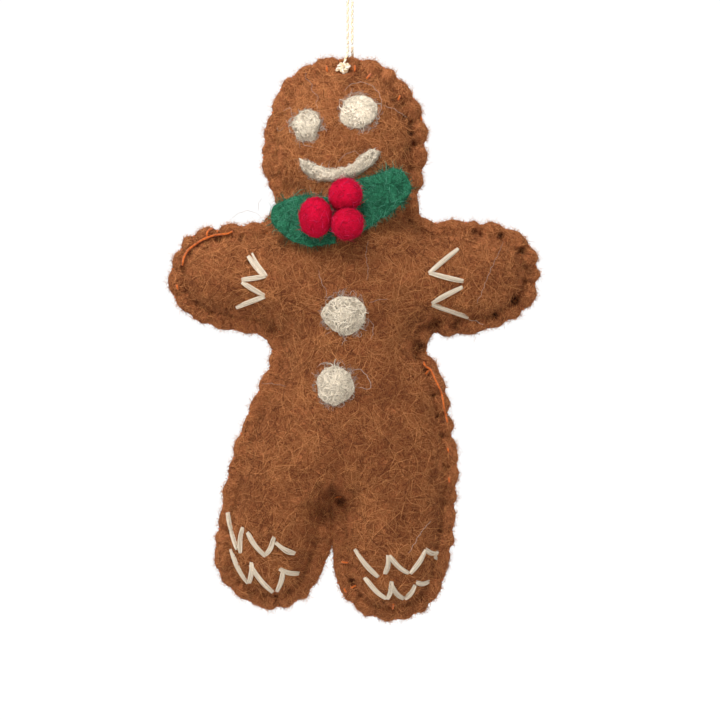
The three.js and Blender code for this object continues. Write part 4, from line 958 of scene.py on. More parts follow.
def strip(line, up, down, rise, under, crown, seed, steps=44, around=22):
    """A flat or crowned strip along a line of places. At each station a ring runs round its section: across by the
    cosine of the turn times the width on that side, out by the sine, from the underside by the rise to the crown,
    uneven by noise. up and down are the shares of the length and the widths there on each side, crown is a function
    of the share, and under one of places, the share and how far aside they lie."""
    walk = spline(line, 24)
    at = walked(walk)
    share = 0.5 - 0.5 * np.cos(np.pi * np.linspace(0, 1, steps))
    share = 0.25 * share + 0.75 * np.linspace(0, 1, steps)
    middle = met(walk, at, share * at[-1])
    share = share[:, None]
    across = -right_of(unit(np.gradient(middle, axis=0)))
    turn = circle(around)
    side = np.sign(np.cos(turn)) * np.abs(np.cos(turn)) ** 0.75
    width = np.where(side > 0, np.interp(share, *up), np.interp(share, *down))
    spots = np.stack([share * at[-1] + 0 * side, side + 0 * width], -1)
    ragged = 1 + 0.035 * lattice_noise(spots, 1.1, seed)
    places = middle[:, None] + across[:, None] * (side * width * ragged)[..., None]
    out = np.sin(turn)
    top = crown(share) * (1 - side ** 2) ** 0.8 * out
    top = top + bumps(places, seed + 1, (0.14, 1.6), (0.07, 0.7)) * smooth(out, 0.0, 0.6)
    lift = rise / 2 * (1 + np.sign(out) * np.abs(out) ** 0.7) + np.where(out > 0, top, 0.0)
    rings = raised(places, -(under(places, share, side) + lift))
    return lofted(rings[1:-1], rings[0].mean(0), rings[-1].mean(0)), rings[1:-1]


def ball(centre, radii, seed, presses):
    """A felt ball: rings of the cosine and sine of the latitude, uneven by noise, kept a little off the neighbours
    that it is pressed against, each a centre and a radius."""
    rows, around = 22, 34
    latitude = (np.pi * (np.arange(1, rows) / rows - 0.5))[:, None]
    turn = circle(around)
    sphere = np.stack([np.cos(latitude) * np.cos(turn), np.sin(latitude) + 0 * turn, np.cos(latitude) * np.sin(turn)],
                      -1)[::-1]
    rings = centre + sphere * radii * (1 + bumps(sphere, seed, (0.016, 0.5), (0.008, 0.2)))[..., None]
    for other, reach in presses:
        off = rings - other
        far = np.linalg.norm(off, axis=-1, keepdims=True)
        rings = np.where(far < reach, other + off / far * reach, rings)
    poles = [centre + np.array([0, y, 0]) * radii for y in (1, -1)]
    return lofted(rings, *poles), rings


# The operators


class MakesPieces:
    """What the operators share: they undo as one step and need nothing selected."""

    bl_options = {"REGISTER", "UNDO"}


class FELTFIGURE_OT_hanging_thread(MakesPieces, bpy.types.Operator):
    """Make the looped hanging thread and the eye that ties it into the head"""

    bl_idname = "felt_figure.hanging_thread"
    bl_label = "Hanging Thread"

    def execute(self, context):
        diameter = context.scene.felt_figure.cord_diameter / MM
        # The loop from its neck up, as shares of its width and of the height of its curve
        shares = [(0.1, -0.9), (0.27, -0.66), (0.41, -0.43), (0.49, -0.25), (0.46, -0.11), (0.27, -0.02)]
        width, rise = 11.0, 28.0
        left = [(STRAND_X, z) for z in (PIVOT, -44.0, -37.0, -34.0, -31.0, -28.0)]
        left += [(x * width, z * rise) for x, z in shares]
        route = [(-x, 0.0, z) for x, z in left] + [(0.0, 0.0, diameter / 2)]
        route += [(x, 0.0, z) for x, z in reversed(left)]
        path = even(spline(route, 12), 0.3)
        across = np.tile([0.0, 1.0, 0.0], (len(path), 1))
        made = self.plied(path, across, diameter, THREAD_TURN)
        cord = add_piece("hanging_thread", made, ["cream_cord"], body=None)
        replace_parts(cord, "hanging_loop", "strand_left", "strand_right")
        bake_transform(cord)
        eye = self.thread_eye(diameter)
        return {"FINISHED"}

    def plied(self, path, side, diameter, turn):
        """Two plies round a path: each a tube of 0.54 of the thread's radius whose middle circles the path at 0.46
        of it, once in every turn millimetres, half a turn from the other. The second ply is the darker one."""
        run = unit(np.gradient(path, axis=0))
        a = unit(side - run * (side * run).sum(-1, keepdims=True))
        b = np.cross(run, a)
        angle = (2 * np.pi * walked(path) / turn)[:, None]
        centres = np.stack([path + 0.46 * diameter / 2 * (a * np.cos(angle + p) + b * np.sin(angle + p))
                            for p in (0, np.pi)])
        radius = 0.54 * diameter / 2 * (1 + 0.08 * lattice_noise(centres, 0.8, 31))
        points, faces = tubes(centres, radius, np.stack([a, a]), sides=7)
        return points, faces, np.repeat([0.0, 1.0], len(points) // 2)

    def thread_eye(self, diameter):
        """The thread's eye through both felts, and the knot on its front leg, a trefoil wound tight, with its tail."""
        front, back = 3.0, 2.75
        knot = np.array([-1.45, -4.2, TOP - 2.5])
        route = [(-STRAND_X, 0, PIVOT - 0.1), (-STRAND_X, -1.4, TOP + 2.3), (-STRAND_X, -front, TOP + 1.0),
                 (-1.1, -3.8, TOP - 0.7), knot, (HANG_X, -3.0, TOP - 1.7), (HANG_X, -1.6, TOP - 1.4),
                 (HANG_X, 0, TOP - 1.35), (HANG_X, 1.6, TOP - 1.3), (HANG_X, back, TOP - 0.9),
                 (0.0, back + 0.1, TOP + 0.1), (STRAND_X, 1.9, TOP + 0.95), (STRAND_X, 0.7, TOP + 1.4),
                 (STRAND_X, 0.12, TOP + 2.3), (STRAND_X, 0, PIVOT - 0.1)]
        path = even(spline(route, 12), 0.22)
        t = np.linspace(0, 2 * np.pi, 97)[:-1]
        loops = np.stack([np.sin(t) + 2 * np.sin(2 * t), -0.9 * np.sin(3 * t), np.cos(t) - 2 * np.cos(2 * t)], -1)
        wound = np.vstack([loops, loops[:1]]) * [0.4, 0.5, 0.36] + knot + [0.1, 0.0, 0.0]
        tail = even(spline(knot + [[0.2, -0.3, 0], [-0.9, -0.35, -0.15], [-1.75, 0.1, -0.65]], 10), 0.2)
        parts = ((path, [1.0, 0.0, 0.0], 1.0, THREAD_TURN), (wound, [0.0, 1.0, 0.0], 1.4, 2.2),
                 (tail, [0.0, 1.0, 0.0], 1.25, 2.2))
        made = [self.plied(route, carried(route, side), diameter * share, turn) for route, side, share, turn in parts]
        eye = add_piece("thread_eye", joined(*made), ["cream_cord"], body="eye")
        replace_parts(eye, "loop_knot")
        return eye


class FELTFIGURE_OT_felts(MakesPieces, bpy.types.Operator):
    """Make the two stuffed brown felts and the stuffing between them"""

    bl_idname = "felt_figure.felts"
    bl_label = "Felts and Stuffing"

    def execute(self, context):
        felt = felt_of(context)
        stuffing = add_piece("stuffing", felt.stuffing(), ["stuffing"])
        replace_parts(stuffing, *(n for n in frame["nodes"] if n.startswith("stuffing_")))
        for side, name in ((-1, "front"), (1, "back")):
            panel = add_piece(f"{name}_felt", felt.panel(side), ["brown_felt"], key="hollow")
            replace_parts(panel, f"{name}_panel")
        return {"FINISHED"}


class FELTFIGURE_OT_wool_coat(MakesPieces, bpy.types.Operator):
    """Make the matted and loose wool fibres of the brown felts"""

    bl_idname = "felt_figure.wool_coat"
    bl_label = "Brown Wool Coat"

    # The coats of matted fibres from the felt up: length, thickness, tone, bend and the drift of their headings
    coats = ((5.2, 0.1, 0.5, 0.3, 6.0), (6.5, 0.1, 0.8, 0.32, 4.0), (3.4, 0.13, 0.2, 0.3, 8.0))
    # Each felt's side, name, number of coats, matted fibres in each and loose fibres
    sides = ((-1, "front", 3, 8200, 15500), (1, "back", 2, 5600, 10000))
    # The places that the matted fibres start from, and how thick the loose ones stand within and at the rim's rows
    start_count = 60000
    within, at_rim, rim_rows = 0.16, 1.9, 9

    def execute(self, context):
        felt = felt_of(context)
        share = context.scene.felt_figure.coat_density
        for side, name, layers, count, loose in self.sides:
            grid, hollow = felt.grids[side]
            # Fewer fibres start where the felt carries painted shade
            bare = np.clip(1 - 1.05 * hollow[:-1], 0.02, 1)
            bare[:4] *= 0.5
            chance = np.random.default_rng(90 + side)
            starts = scattered(grid, self.start_count, chance, side, bare)[0][:, [0, 2]]
            for i, (length, thickness, tone, bend, drift) in enumerate(self.coats[:layers]):
                made = lying(
                    starts, lambda p: felt.face(p, side), int(count * share), length, thickness + 0.02 * (side > 0),
                    100 + 10 * i + side, side, tone=tone, drift=drift, bend=bend, near_rim=6.0, high=0.3,
                    stations=6 if side < 0 and i < 2 else 5, painted_light=lambda p: self.painted_light(felt, p))
                add_piece(f"{name}_matted_wool_{i + 1}", made, ["brown_wool"])
            thick = np.full(grid.shape[:2], self.within)[:-1]
            thick[:self.rim_rows] = self.at_rim
            made = standing(grid, int(loose * share), 1.35, 0.042, 200 + side, side, thick, rise=0.9, tone=0.85)
            add_piece(f"{name}_loose_wool", made, ["brown_wool"])
        return {"FINISHED"}

    def painted_light(self, felt, places):
        """Painted light: how much paler the wool is made, on the head only, most towards its left side and less to the
        right, where the light falls more.
        """
        aside = places[..., 0] - felt.place(SPINE["face"])[0]
        head = smooth(places[..., 1], *felt.place([SPINE["neck"], SPINE["face"]])[:, 1])
        return head * (0.2 * smooth(-aside, 1.0, 8.0) + 0.08 * smooth(aside, 4.0, 9.0))


# Runs of the seam's thread that show on the front, by the shares of places along them
RUNS = [
    ((-0.6184, 0.3066), (-0.6453, 0.3111), (-0.7045, 0.3137), (-0.7529, 0.3182), (-0.8066, 0.328),
     (-0.8604, 0.3422), (-0.8792, 0.3529), (-0.89, 0.369)),
    ((-0.7206, 0.3012), (-0.7529, 0.3075), (-0.7583, 0.3182)),
    ((0.4032, 0.5383), (0.4167, 0.5472), (0.4409, 0.5526), (0.4731, 0.574), (0.5, 0.5936), (0.5161, 0.6221),
     (0.5355, 0.6488)),
    ((0.414, 0.5633), (0.4301, 0.5561), (0.4462, 0.5508)),
    ((-0.1157, 0.0116), (-0.113, 0.0187), (-0.1103, 0.025)),
    ((0.0349, 0.0107), (0.0376, 0.0178), (0.0322, 0.0241)),
    ((0.1236, 0.0258), (0.1129, 0.0312), (0.0967, 0.0374)),
    ((0.2795, 0.0642), (0.2742, 0.0695), (0.2661, 0.0749)),
    ((0.3898, 0.0998), (0.3925, 0.1062), (0.3978, 0.1123)),
    ((-0.0377, 0.8957), (-0.0162, 0.8966), (0.0053, 0.8975)),
    ((0.0107, 0.943), (0.0268, 0.9403), (0.0483, 0.9376)),
    ((-0.0216, 0.9412), (-0.0162, 0.9465), (-0.0054, 0.9519)),
    ((0.2446, 0.9679), (0.2419, 0.9743), (0.2392, 0.9813)),
    ((0.535, 0.6916), (0.5377, 0.697), (0.5403, 0.7023)),
    ((0.5403, 0.7451), (0.543, 0.7504), (0.543, 0.7558)),
    ((-0.9196, 0.4011), (-0.9169, 0.4064), (-0.9115, 0.4118)),
]


class FELTFIGURE_OT_seam(MakesPieces, bpy.types.Operator):
    """Make the orange thread that sews the two felts together"""

    bl_idname = "felt_figure.seam"
    bl_label = "Seam Thread"

    # The thread's radius where it is drawn tight and where it lies loose, and the step along a loose run
    tight, loose = 0.21, 0.27
    step = 0.3

    def execute(self, context):
        felt = felt_of(context)
        holes = felt.holes
        spacing = np.diff(np.append(holes, holes[0] + felt.length))
        # Each stitch: through the felts at the hole, round the edge and along the needle line to the next hole
        share = np.array([0, 0, 0, 0, 0, 0, 0, 0, 0, 0.06, 0.2, 0.4, 0.6, 0.8, 0.93])
        inset = np.array([3.0, 3.0, 3.0, 2.4, 1.5, 0.7, 0.7, 1.5, 2.3, 2.8, 3.05, 3.1, 3.1, 3.05, 3.0])
        level = np.array([-1, 0, 1, 1, 1, 1, -1, -1, -1, -1, -1, -1, -1, -1, -1.0])
        along = (holes[:, None] + share * spacing[:, None])
        inset = np.broadcast_to(inset, along.shape).copy()
        inset[:, 5:7] = np.interp(holes, felt.along, felt.trim)[:, None] + 0.05
        places = felt.edge(along, inset)
        depth = np.where(level < 0, felt.face(places, -1), felt.face(places, 1)) - 0.5
        path = raised(places, np.maximum(depth, 0.4) * level).reshape(-1, 3)
        made = [self.run(even(spline(path, 5), 0.34), self.tight)]
        for shares in RUNS:
            walk = even(spline(felt.seen(shares)[0], 8), self.step)
            number = np.arange(len(walk))
            ends = np.minimum(number, number[::-1]) * self.step
            lift = -0.4 + 0.88 * smooth(ends, 0.0, 0.45) + 0.06 * np.sin(number * 0.9)
            made.append(self.run(raised(walk, -(felt.face(walk) + lift)), self.loose))
        points, faces = joined(*made)
        tone = 0.5 + 0.5 * np.sin(np.arange(len(points)) * 0.35)
        thread = add_piece("seam_stitches", (points, faces, tone), ["orange_thread"])
        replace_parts(thread, "seam_thread")
        return {"FINISHED"}

    def run(self, path, thick):
        """A length of the thread of this radius."""
        radius = np.full((1, len(path)), thick)
        return tubes(path[None], radius, carried(path, [0.3, 0.2, 1.0])[None], sides=6)


class FELTFIGURE_OT_face(MakesPieces, bpy.types.Operator):
    """Make the eyes and the smile of needled cream wool"""

    bl_idname = "felt_figure.face"
    bl_label = "Eyes and Smile"

    def execute(self, context):
        felt = felt_of(context)
        for i, name in enumerate(("eye_left", "eye_right")):
            add_tuft(felt, name, 40 + i)
        line = felt.seen([(-0.2635, 0.1765), (-0.218, 0.193), (-0.151, 0.204), (-0.073, 0.207), (-0.0135, 0.203),
                          (0.0456, 0.196), (0.099, 0.181), (0.158, 0.165)])[0]
        # Shares of the smile's length, and half its width there
        half = ((0, 0.04, 0.12, 0.3, 0.48, 0.6, 0.72, 0.85, 0.95, 1),
                (0.1, 0.4, 1.3, 1.6, 1.2, 1.2, 1.4, 1.65, 1.4, 0.5))
        core, rings = strip(line, half, half, 0.5, lambda p, t, v: felt.face(p) + 0.06,
                            lambda t: 0.85 * np.minimum(1, 0.35 + 2 * t), 44)
        right, left = rings[:, 0], rings[:, 11]
        middle, reach = (right + left)[:, [0, 2]] / 2, np.linalg.norm(right - left, axis=-1) / 2

        def height(p):
            off = p[..., None, :] - middle
            square = (off * off).sum(-1)
            far = np.sqrt(square.min(-1)) / np.maximum(reach[np.argmin(square, -1)], 0.1)
            return felt.face(p) + smooth(far, 1.3, 0.85) * (0.45 + 0.75 * np.clip(1 - far ** 2, 0, 1))

        top = rings[3:, 3:9][..., [0, 2]].reshape(-1, 2)
        curls = lying(top, height, 420, 2.3, 0.2, 46, tone=0.55, drift=2.0, bend=1.2, stations=9, high=0.5)
        loose = standing(rings, 2200, 0.8, 0.045, 45, rise=0.5, tone=0.4)
        smile = dressed("smile_wool", core, joined(curls, loose), ("cream_felt", "cream_wool"))
        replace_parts(smile, "smile")
        return {"FINISHED"}


class FELTFIGURE_OT_buttons(MakesPieces, bpy.types.Operator):
    """Make the two buttons of needled cream wool"""

    bl_idname = "felt_figure.buttons"
    bl_label = "Buttons"

    def execute(self, context):
        felt = felt_of(context)
        for i, name in enumerate(("button_upper", "button_lower")):
            add_tuft(felt, name, 50 + i)
        return {"FINISHED"}


class FELTFIGURE_OT_holly(MakesPieces, bpy.types.Operator):
    """Make the two green leaves and the three red felt balls"""

    bl_idname = "felt_figure.holly"
    bl_label = "Holly Leaves and Berries"

    # The leaves' thickness, how far their edges curl up, and the least room between them and what is under them
    leaf_thickness = 2.0
    cup = 0.5
    clearance = 0.3
    # The share of a leaf's drawn widths and the length that its wool takes up at each side, and the share at its tip
    drawn_share, wool_room, tip_room = 0.96, 0.25, 0.08
    # How far a berry sinks between the leaves, and how far it keeps off the berries made before it
    sunk, apart = 0.6, 0.1

    # Each leaf: the line from its root to its tip as shares, then the shares of its length and its widths there on
    # the left and on the right of that line, and the seed of its unevenness
    leaves = {
        "leaf_left": (
            ((-0.05, 0.288), (-0.23, 0.283), (-0.34, 0.277), (-0.405, 0.27)), (0, 0.37, 0.64, 0.83, 0.93, 1.0),
            (5.6, 7.1, 6.3, 4.6, 3.2, 1.2), (4.6, 5.4, 4.9, 3.4, 2.0, 0.6), 61),
        "leaf_right": (
            ((0.0, 0.269), (0.13, 0.246), (0.24, 0.228), (0.325, 0.215)), (0, 0.25, 0.6, 0.85, 0.94, 1.0),
            (5.6, 5.7, 4.3, 4.0, 2.9, 1.4), (6.4, 5.9, 5.4, 4.4, 3.6, 2.2), 63),
    }
    # Each berry: its place as shares, its radii, and how far it is stacked on the others
    berries = {
        "berry_lower": ((-0.004, 0.2935), (3.7, 3.7, 3.65), 1.3),
        "berry_top": ((-0.0145, 0.242), (3.8, 3.7, 3.75), 0.0),
        "berry_left": ((-0.174, 0.282), (3.75, 4.0, 4.55), 0.0),
    }

    def execute(self, context):
        felt = felt_of(context)
        for name, leaf in self.leaves.items():
            self.leaf(felt, name, *leaf)
        root = max(felt.face(felt.place([leaf[0][0]]))[0] for leaf in self.leaves.values()) + self.clearance
        seat = root + self.cup + self.leaf_thickness + self.clearance
        balls = []
        for i, (name, (shares, radii, stack)) in enumerate(self.berries.items()):
            depth = seat + radii[1] - self.sunk + stack
            (x, z), near = (v[0] for v in felt.seen([shares], np.array([depth])))
            centre, radii = np.array([x, -depth, z]), np.array(radii) * near
            core, rings = ball(centre, radii, 70 + i, balls)
            balls.append((centre, radii[0] + self.apart))
            matted = standing(rings, 900, 1.6, 0.11, 90 + i, rise=0.07, tone=0.5, spread=0.35)
            loose = standing(rings, 1500, 0.7, 0.04, 80 + i, rise=0.6, tone=0.6)
            berry = dressed(f"{name}_ball", core, joined(matted, loose), ("red_felt", "red_wool"))
            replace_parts(berry, name)
        return {"FINISHED"}

    def leaf(self, felt, name, shares, marks, up, down, seed):
        """A leaf of thick felt that runs out from its root, droops by the square of the share of its length and
        never sinks into the body."""
        line = felt.seen(shares)[0]
        line[-1] += (line[-2] - line[-1]) * self.tip_room
        root = felt.face(line[:1])[0] + self.clearance
        up, down = ((marks, np.array(width) * self.drawn_share - self.wool_room) for width in (up, down))

        def under(places, t, v):
            free = root * (1 - 0.25 * t * t) + self.cup * v * v
            wave = 0.25 * lattice_noise(places, 4.5, seed)
            return np.maximum(free + wave, felt.face(places) + 0.15)

        core, rings = strip(line, up, down, self.leaf_thickness, under, lambda t: 0.25 + 0 * t, seed, 50, 36)
        top = np.zeros(rings.shape[:2])[:-1]
        top[4:-4, 4:15] = 1.0
        matted = standing(rings, 1700, 1.9, 0.13, seed + 40, weight=top, rise=0.05, tone=0.42, spread=0.5, stations=5)
        coat = joined(matted, standing(rings, 3600, 0.75, 0.05, seed + 30, rise=0.75, tone=0.6, spread=0.35))
        leaf = add_piece(f"{name}_felt", core, ["green_felt"])
        add_piece(f"{name}_loose_wool", coat, ["green_wool"])
        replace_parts(leaf, name)


# Straight stitches of floss: the shares of both needle holes, then the number of strands
FLOSS = {
    "wrist_floss_left": [
        (-0.5346, 0.352, -0.4491, 0.3886, 4), (-0.5152, 0.3469, -0.4383, 0.3859, 2),
        (-0.5684, 0.393, -0.4453, 0.3872, 6), (-0.5674, 0.3984, -0.4518, 0.421, 6),
        (-0.4518, 0.4242, -0.598, 0.4424, 6),
    ],
    "wrist_floss_right": [
        (0.589, 0.3394, 0.439, 0.3807, 6), (0.441, 0.3815, 0.615, 0.3957, 6), (0.611, 0.4071, 0.454, 0.4342, 6),
        (0.457, 0.4378, 0.643, 0.4599, 6),
    ],
    "foot_floss_left_upper": [
        (-0.645, 0.8093, -0.597, 0.8717, 6), (-0.565, 0.8351, -0.578, 0.8788, 6), (-0.538, 0.844, -0.446, 0.885, 6),
        (-0.444, 0.8832, -0.398, 0.8529, 6), (-0.387, 0.8619, -0.288, 0.8806, 5),
    ],
    "foot_floss_left_lower": [
        (-0.627, 0.8743, -0.54, 0.9323, 6), (-0.532, 0.9323, -0.519, 0.8975, 6), (-0.522, 0.902, -0.406, 0.9483, 6),
        (-0.382, 0.9474, -0.35, 0.9118, 6), (-0.366, 0.9082, -0.266, 0.9162, 5),
    ],
    "foot_floss_right_upper": [
        (0.04, 0.8743, 0.159, 0.9216, 6), (0.199, 0.9162, 0.215, 0.885, 6), (0.223, 0.8859, 0.323, 0.9153, 6),
        (0.336, 0.9153, 0.414, 0.8752, 6), (0.417, 0.8734, 0.481, 0.8815, 4), (0.479, 0.877, 0.473, 0.8913, 3),
    ],
    "foot_floss_right_lower": [
        (0.091, 0.9242, 0.202, 0.9599, 6), (0.21, 0.9608, 0.234, 0.9314, 6), (0.234, 0.9376, 0.298, 0.9608, 6),
        (0.306, 0.9608, 0.358, 0.9376, 6), (0.368, 0.9323, 0.435, 0.9314, 5),
    ],
}

# Long stray fibres, by the shares of places along them
STRAYS = [
    ((0.011, 0.5553), (0.054, 0.5526), (0.091, 0.5597), (0.124, 0.5856), (0.051, 0.5856)),
    ((-0.027, 0.0588), (0.021, 0.0455), (0.086, 0.0428), (0.145, 0.0535), (0.177, 0.0713), (0.172, 0.0945),
     (0.129, 0.1105)),
    ((-0.231, 0.0232), (-0.221, 0.0374), (-0.194, 0.0446), (-0.194, 0.057), (-0.161, 0.0677), (-0.172, 0.0802),
     (-0.161, 0.0909)),
    ((0.833, 0.3244), (0.812, 0.344), (0.785, 0.3619), (0.747, 0.3904), (0.72, 0.4153), (0.688, 0.4367)),
    ((-0.059, 0.1854), (-0.016, 0.1711), (0.038, 0.1649), (0.07, 0.1747)),
    ((-0.161, 0.3761), (-0.14, 0.3993), (-0.113, 0.4153), (-0.124, 0.426), (-0.081, 0.4225)),
    ((0.021, 0.4135), (0.048, 0.4189), (0.027, 0.4278)),
    ((0.107, 0.4349), (0.161, 0.4296), (0.215, 0.4269)),
    ((0.097, 0.4617), (0.129, 0.4688), (0.134, 0.4866), (0.124, 0.5009)),
    ((-0.172, 0.5508), (-0.14, 0.5419), (-0.097, 0.5437), (-0.075, 0.549)),
    ((-0.355, 0.0945), (-0.317, 0.0873), (-0.301, 0.1016), (-0.328, 0.1159)),
    ((-0.344, 0.123), (-0.371, 0.1283), (-0.387, 0.1212)),
    ((-0.21, 0.2264), (-0.194, 0.2371), (-0.151, 0.2406), (-0.14, 0.2299)),
    ((-0.188, 0.2175), (-0.215, 0.2121), (-0.199, 0.205)),
    ((0.634, 0.4635), (0.683, 0.467), (0.731, 0.4742)),
    ((-0.253, 0.1444), (-0.226, 0.1551), (-0.183, 0.1569)),
    ((0.188, 0.0838), (0.242, 0.0891), (0.301, 0.1016), (0.323, 0.1052)),
    ((0.1075, 0.3226), (0.0967, 0.3494), (0.1075, 0.3761), (0.1021, 0.3957)),
    ((0.4462, 0.8212), (0.3925, 0.8431), (0.3253, 0.8806)),
    ((-0.4733, 0.5775), (-0.4087, 0.5784), (-0.3302, 0.5829)),
    ((-0.4625, 0.2478), (-0.4786, 0.2567), (-0.4813, 0.2727)),
    ((-0.64, 0.2888), (-0.5969, 0.2772), (-0.5485, 0.2709), (-0.4948, 0.2745), (-0.4571, 0.287)),
]


class FELTFIGURE_OT_floss(MakesPieces, bpy.types.Operator):
    """Make the zigzags of cream embroidery floss on the wrists and feet"""

    bl_idname = "felt_figure.floss"
    bl_label = "Embroidery Floss"

    # A strand's radius, the pitch of strands side by side, and how far a stitch bows on a foot and on a wrist
    radius = 0.132
    pitch = 0.28
    foot_bow, wrist_bow = 0.32, 0.08

    def execute(self, context):
        felt = felt_of(context)
        for i, (name, rows) in enumerate(FLOSS.items()):
            bow = self.foot_bow if "foot" in name else self.wrist_bow
            made = [self.stitch(felt, *felt.seen([row[:2], row[2:4]])[0], 300 + 10 * i + k, row[4], bow)
                    for k, row in enumerate(rows)]
            row = add_piece(f"{name}_strands", joined(*made), ["cream_floss"])
            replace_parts(row, name)
        return {"FINISHED"}

    def stitch(self, felt, start, end, seed, strands, bow):
        """One stitch, bowed aside by a share of a sine: four strands side by side and the others on them, turned a
        little round each other on the way. Each runs from its needle hole, over the felt and down the other hole,
        its lift a low power of a sine, and the strands draw together at both ends."""
        chance = np.random.default_rng(seed)
        across = -right_of(unit(end - start))
        t = np.concatenate([[0, 0.01, 0.04], np.linspace(0.09, 0.91, 13), [0.96, 0.99, 1]])
        arc = np.sin(np.pi * np.clip(t, 0, 1))
        low = min(strands, 4)
        seats = [(i - (low - 1) / 2, 0.0) for i in range(low)] + [(-0.55, 0.85), (0.55, 0.85)][:strands - low]
        seats = np.array(seats) * self.pitch
        turn = (chance.uniform(-0.2, 0.2) + 0.9 * (t - 0.5))[None]
        spread = 0.8 + 0.2 * np.minimum(arc * 1.6, 1)
        wander = 0.04 * chance.normal(size=(strands, 1)) * np.sin(2 * np.pi * (t + chance.random((strands, 1))))
        aside = (seats[:, :1] * np.cos(turn) - seats[:, 1:] * np.sin(turn)) * spread + wander
        above = np.maximum(seats[:, :1] * np.sin(turn) * 0.6 + seats[:, 1:] * np.cos(turn), -0.12)
        line = start + (end - start) * (1.06 * t - 0.03)[:, None] - across * (bow * arc)[:, None]
        places = line[None] + across * aside[..., None]
        lift = -0.75 + 1.2 * arc ** 0.1 + above
        depth = felt.face(line)[None] * 0.6 + felt.face(places) * 0.4 + lift
        paths = raised(places, -depth)
        radius = np.broadcast_to(self.radius * (0.95 + 0.05 * arc), paths.shape[:2])
        side = np.tile([across[0], 0.0, across[1]], (strands, 1))
        points, faces = tubes(paths, radius, side, sides=7)
        return points, faces, np.repeat(chance.uniform(0, 0.8, strands), len(points) // strands)


class FELTFIGURE_OT_stray_wool(MakesPieces, bpy.types.Operator):
    """Make the long pale fibres that have strayed round the eyes, the smile and the buttons"""

    bl_idname = "felt_figure.stray_wool"
    bl_label = "Stray Pale Wool"

    def execute(self, context):
        felt = felt_of(context)
        chance = np.random.default_rng(77)
        made = []
        for i, shares in enumerate(STRAYS):
            walk = even(spline(felt.seen(shares)[0], 8), 0.5)
            number = np.arange(len(walk))
            walk = walk + 0.12 * np.stack([np.sin(number * 1.7), np.cos(number * 1.3)], -1)
            lift = 0.4 + 0.25 * np.sin(np.pi * np.linspace(0, 1, len(walk)))
            path = raised(walk, -(felt.face(walk) + lift))
            made.append(hairs(path[None], np.array([0.1 if i == 0 else 0.075]), chance.uniform(0.4, 0.9, 1),
                              np.array([[0.0, -1.0, 0.0]])))
        for shares, reach in TUFTS.values():
            centre = felt.seen([shares])[0][0]
            turn = chance.uniform(0, 2 * np.pi, 110)
            starts = centre + pointing(turn) * np.mean(reach) * chance.uniform(0.9, 1.08, (110, 1))
            made.append(lying(starts, lambda p: felt.face(p) + 0.2, 85, 3.0, 0.07, 78, tone=0.55, drift=1.5, bend=0.95,
                              stations=9))
        add_piece("stray_pale_wool", joined(*made), ["lilac_wool"])
        return {"FINISHED"}


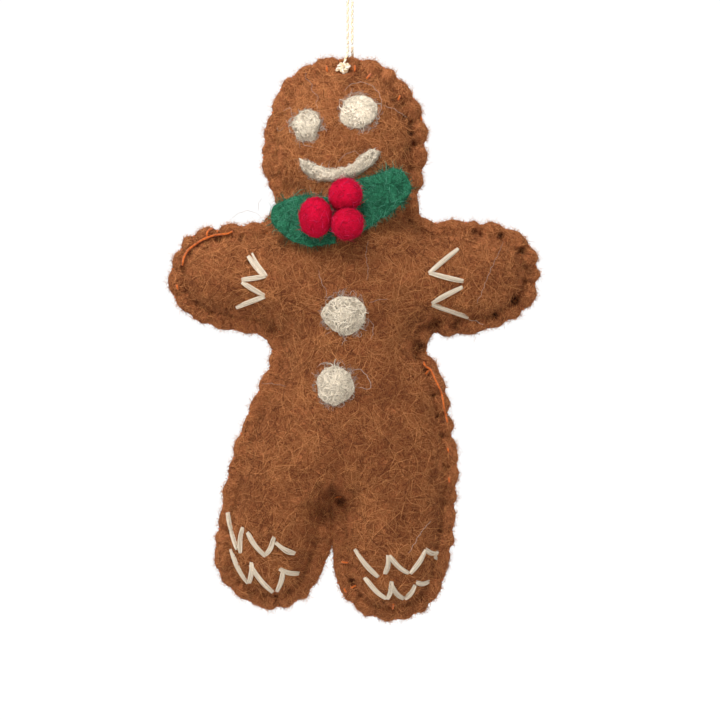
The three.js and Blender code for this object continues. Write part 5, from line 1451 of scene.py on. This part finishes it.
class FELTFIGURE_OT_studio(MakesPieces, bpy.types.Operator):
    """Make the camera, the lamps, and the pale floor that sweeps up into a backdrop"""

    bl_idname = "felt_figure.studio"
    bl_label = "Camera, Lamps and Backdrop"

    # Each lamp's name, place and size in metres, and power in watts
    lamps = (
        ("top_lamp", (-0.06, -0.24, 0.11), 0.18, 1.05), ("left_lamp", (-0.6, -0.45, 0.06), 0.5, 1.75),
        ("right_lamp", (0.65, -0.5, -0.02), 0.6, 1.5), ("back_lamp", (0.1, 0.8, 0.35), 0.7, 3.0))
    aim = (0.0, 0.0, -0.12)
    # The floor's level in millimetres
    floor_level = -262.0

    def execute(self, context):
        scene = context.scene
        camera = bpy.data.cameras.new("camera")
        camera.lens, camera.sensor_width, camera.clip_start = 120.0, 36.0, 0.01
        stand = bpy.data.objects.new("camera", camera)
        stand.location = tuple(EYE * MM)
        stand.rotation_euler = (math.pi / 2, 0, 0)
        scene.collection.objects.link(stand)
        scene.camera = stand
        self.backdrop()
        for lamp in self.lamps:
            self.lamp(scene, *lamp)
        world = bpy.data.worlds.new("studio")
        world.use_nodes = True
        shade = world.node_tree.nodes["Background"]
        shade.inputs["Color"].default_value = (1, 1, 1, 1)
        shade.inputs["Strength"].default_value = 0.4
        scene.world = world
        scene.view_settings.view_transform = "Standard"
        return {"FINISHED"}

    def lamp(self, scene, name, place, size, power):
        """A soft square lamp that points at the figure."""
        data = bpy.data.lights.new(name, "AREA")
        data.size, data.energy = size, power
        lamp = bpy.data.objects.new(name, data)
        aim = np.array(self.aim) - np.array(place)
        lamp.location = place
        lamp.rotation_euler = (math.atan2(math.hypot(aim[0], aim[1]), -aim[2]), 0, math.atan2(-aim[0], aim[1]))
        lamp.visible_camera = False
        scene.collection.objects.link(lamp)

    def backdrop(self):
        """A round floor whose rim sweeps up: a profile of a flat, a quarter circle and a wall, turned once round."""
        bend = np.linspace(0, np.pi / 2, 14)
        radius = np.concatenate([[0.02, 0.2, 0.5, 0.9], 1.3 + 0.5 * np.sin(bend), [1.8]]) / MM
        height = np.concatenate([[0, 0, 0, 0], 0.5 - 0.5 * np.cos(bend), [1.4]]) / MM + self.floor_level
        turn = circle(96)
        rings = np.stack([radius[:, None] * np.cos(turn), radius[:, None] * np.sin(turn),
                          height[:, None] + 0 * turn], -1)
        ids = np.arange(rings.size // 3).reshape(rings.shape[:2])
        faces = flipped(bands(ids))
        faces.append(np.stack([np.full(len(turn), ids.size), ids[0], np.roll(ids[0], -1)], -1))
        points = np.vstack([rings.reshape(-1, 3), [[0, 0, height[0]]]])
        floor = add_piece("paper_sweep", (points, faces), ["paper"], body=None)


PIECES = (
    FELTFIGURE_OT_studio, FELTFIGURE_OT_hanging_thread, FELTFIGURE_OT_felts, FELTFIGURE_OT_seam,
    FELTFIGURE_OT_wool_coat, FELTFIGURE_OT_face, FELTFIGURE_OT_buttons, FELTFIGURE_OT_holly,
    FELTFIGURE_OT_floss, FELTFIGURE_OT_stray_wool,
)


class FELTFIGURE_PT_pieces(bpy.types.Panel):
    """The figure's sizes, colours and pieces."""

    bl_idname = "FELTFIGURE_PT_pieces"
    bl_label = "Felt Figure"
    bl_space_type = "VIEW_3D"
    bl_region_type = "UI"
    bl_category = "Felt Figure"

    def draw(self, context):
        settings = context.scene.felt_figure
        for name in settings.bl_rna.properties.keys():
            if name not in ("rna_type", "name"):
                self.layout.prop(settings, name)
        for piece in PIECES:
            self.layout.operator(piece.bl_idname)


def register():
    """Adds the settings, the operators and the panel to Blender."""
    for made in (FeltFigureSettings, *PIECES, FELTFIGURE_PT_pieces):
        bpy.utils.register_class(made)
    bpy.types.Scene.felt_figure = bpy.props.PointerProperty(type=FeltFigureSettings)


def unregister():
    """Takes them out again."""
    del bpy.types.Scene.felt_figure
    for made in (FELTFIGURE_PT_pieces, *reversed(PIECES), FeltFigureSettings):
        bpy.utils.unregister_class(made)


def main():
    """Makes the whole figure."""
    register()
    for piece in PIECES:
        group, name = piece.bl_idname.split(".")
        getattr(getattr(bpy.ops, group), name)()


if __name__ == "__main__":
    main()
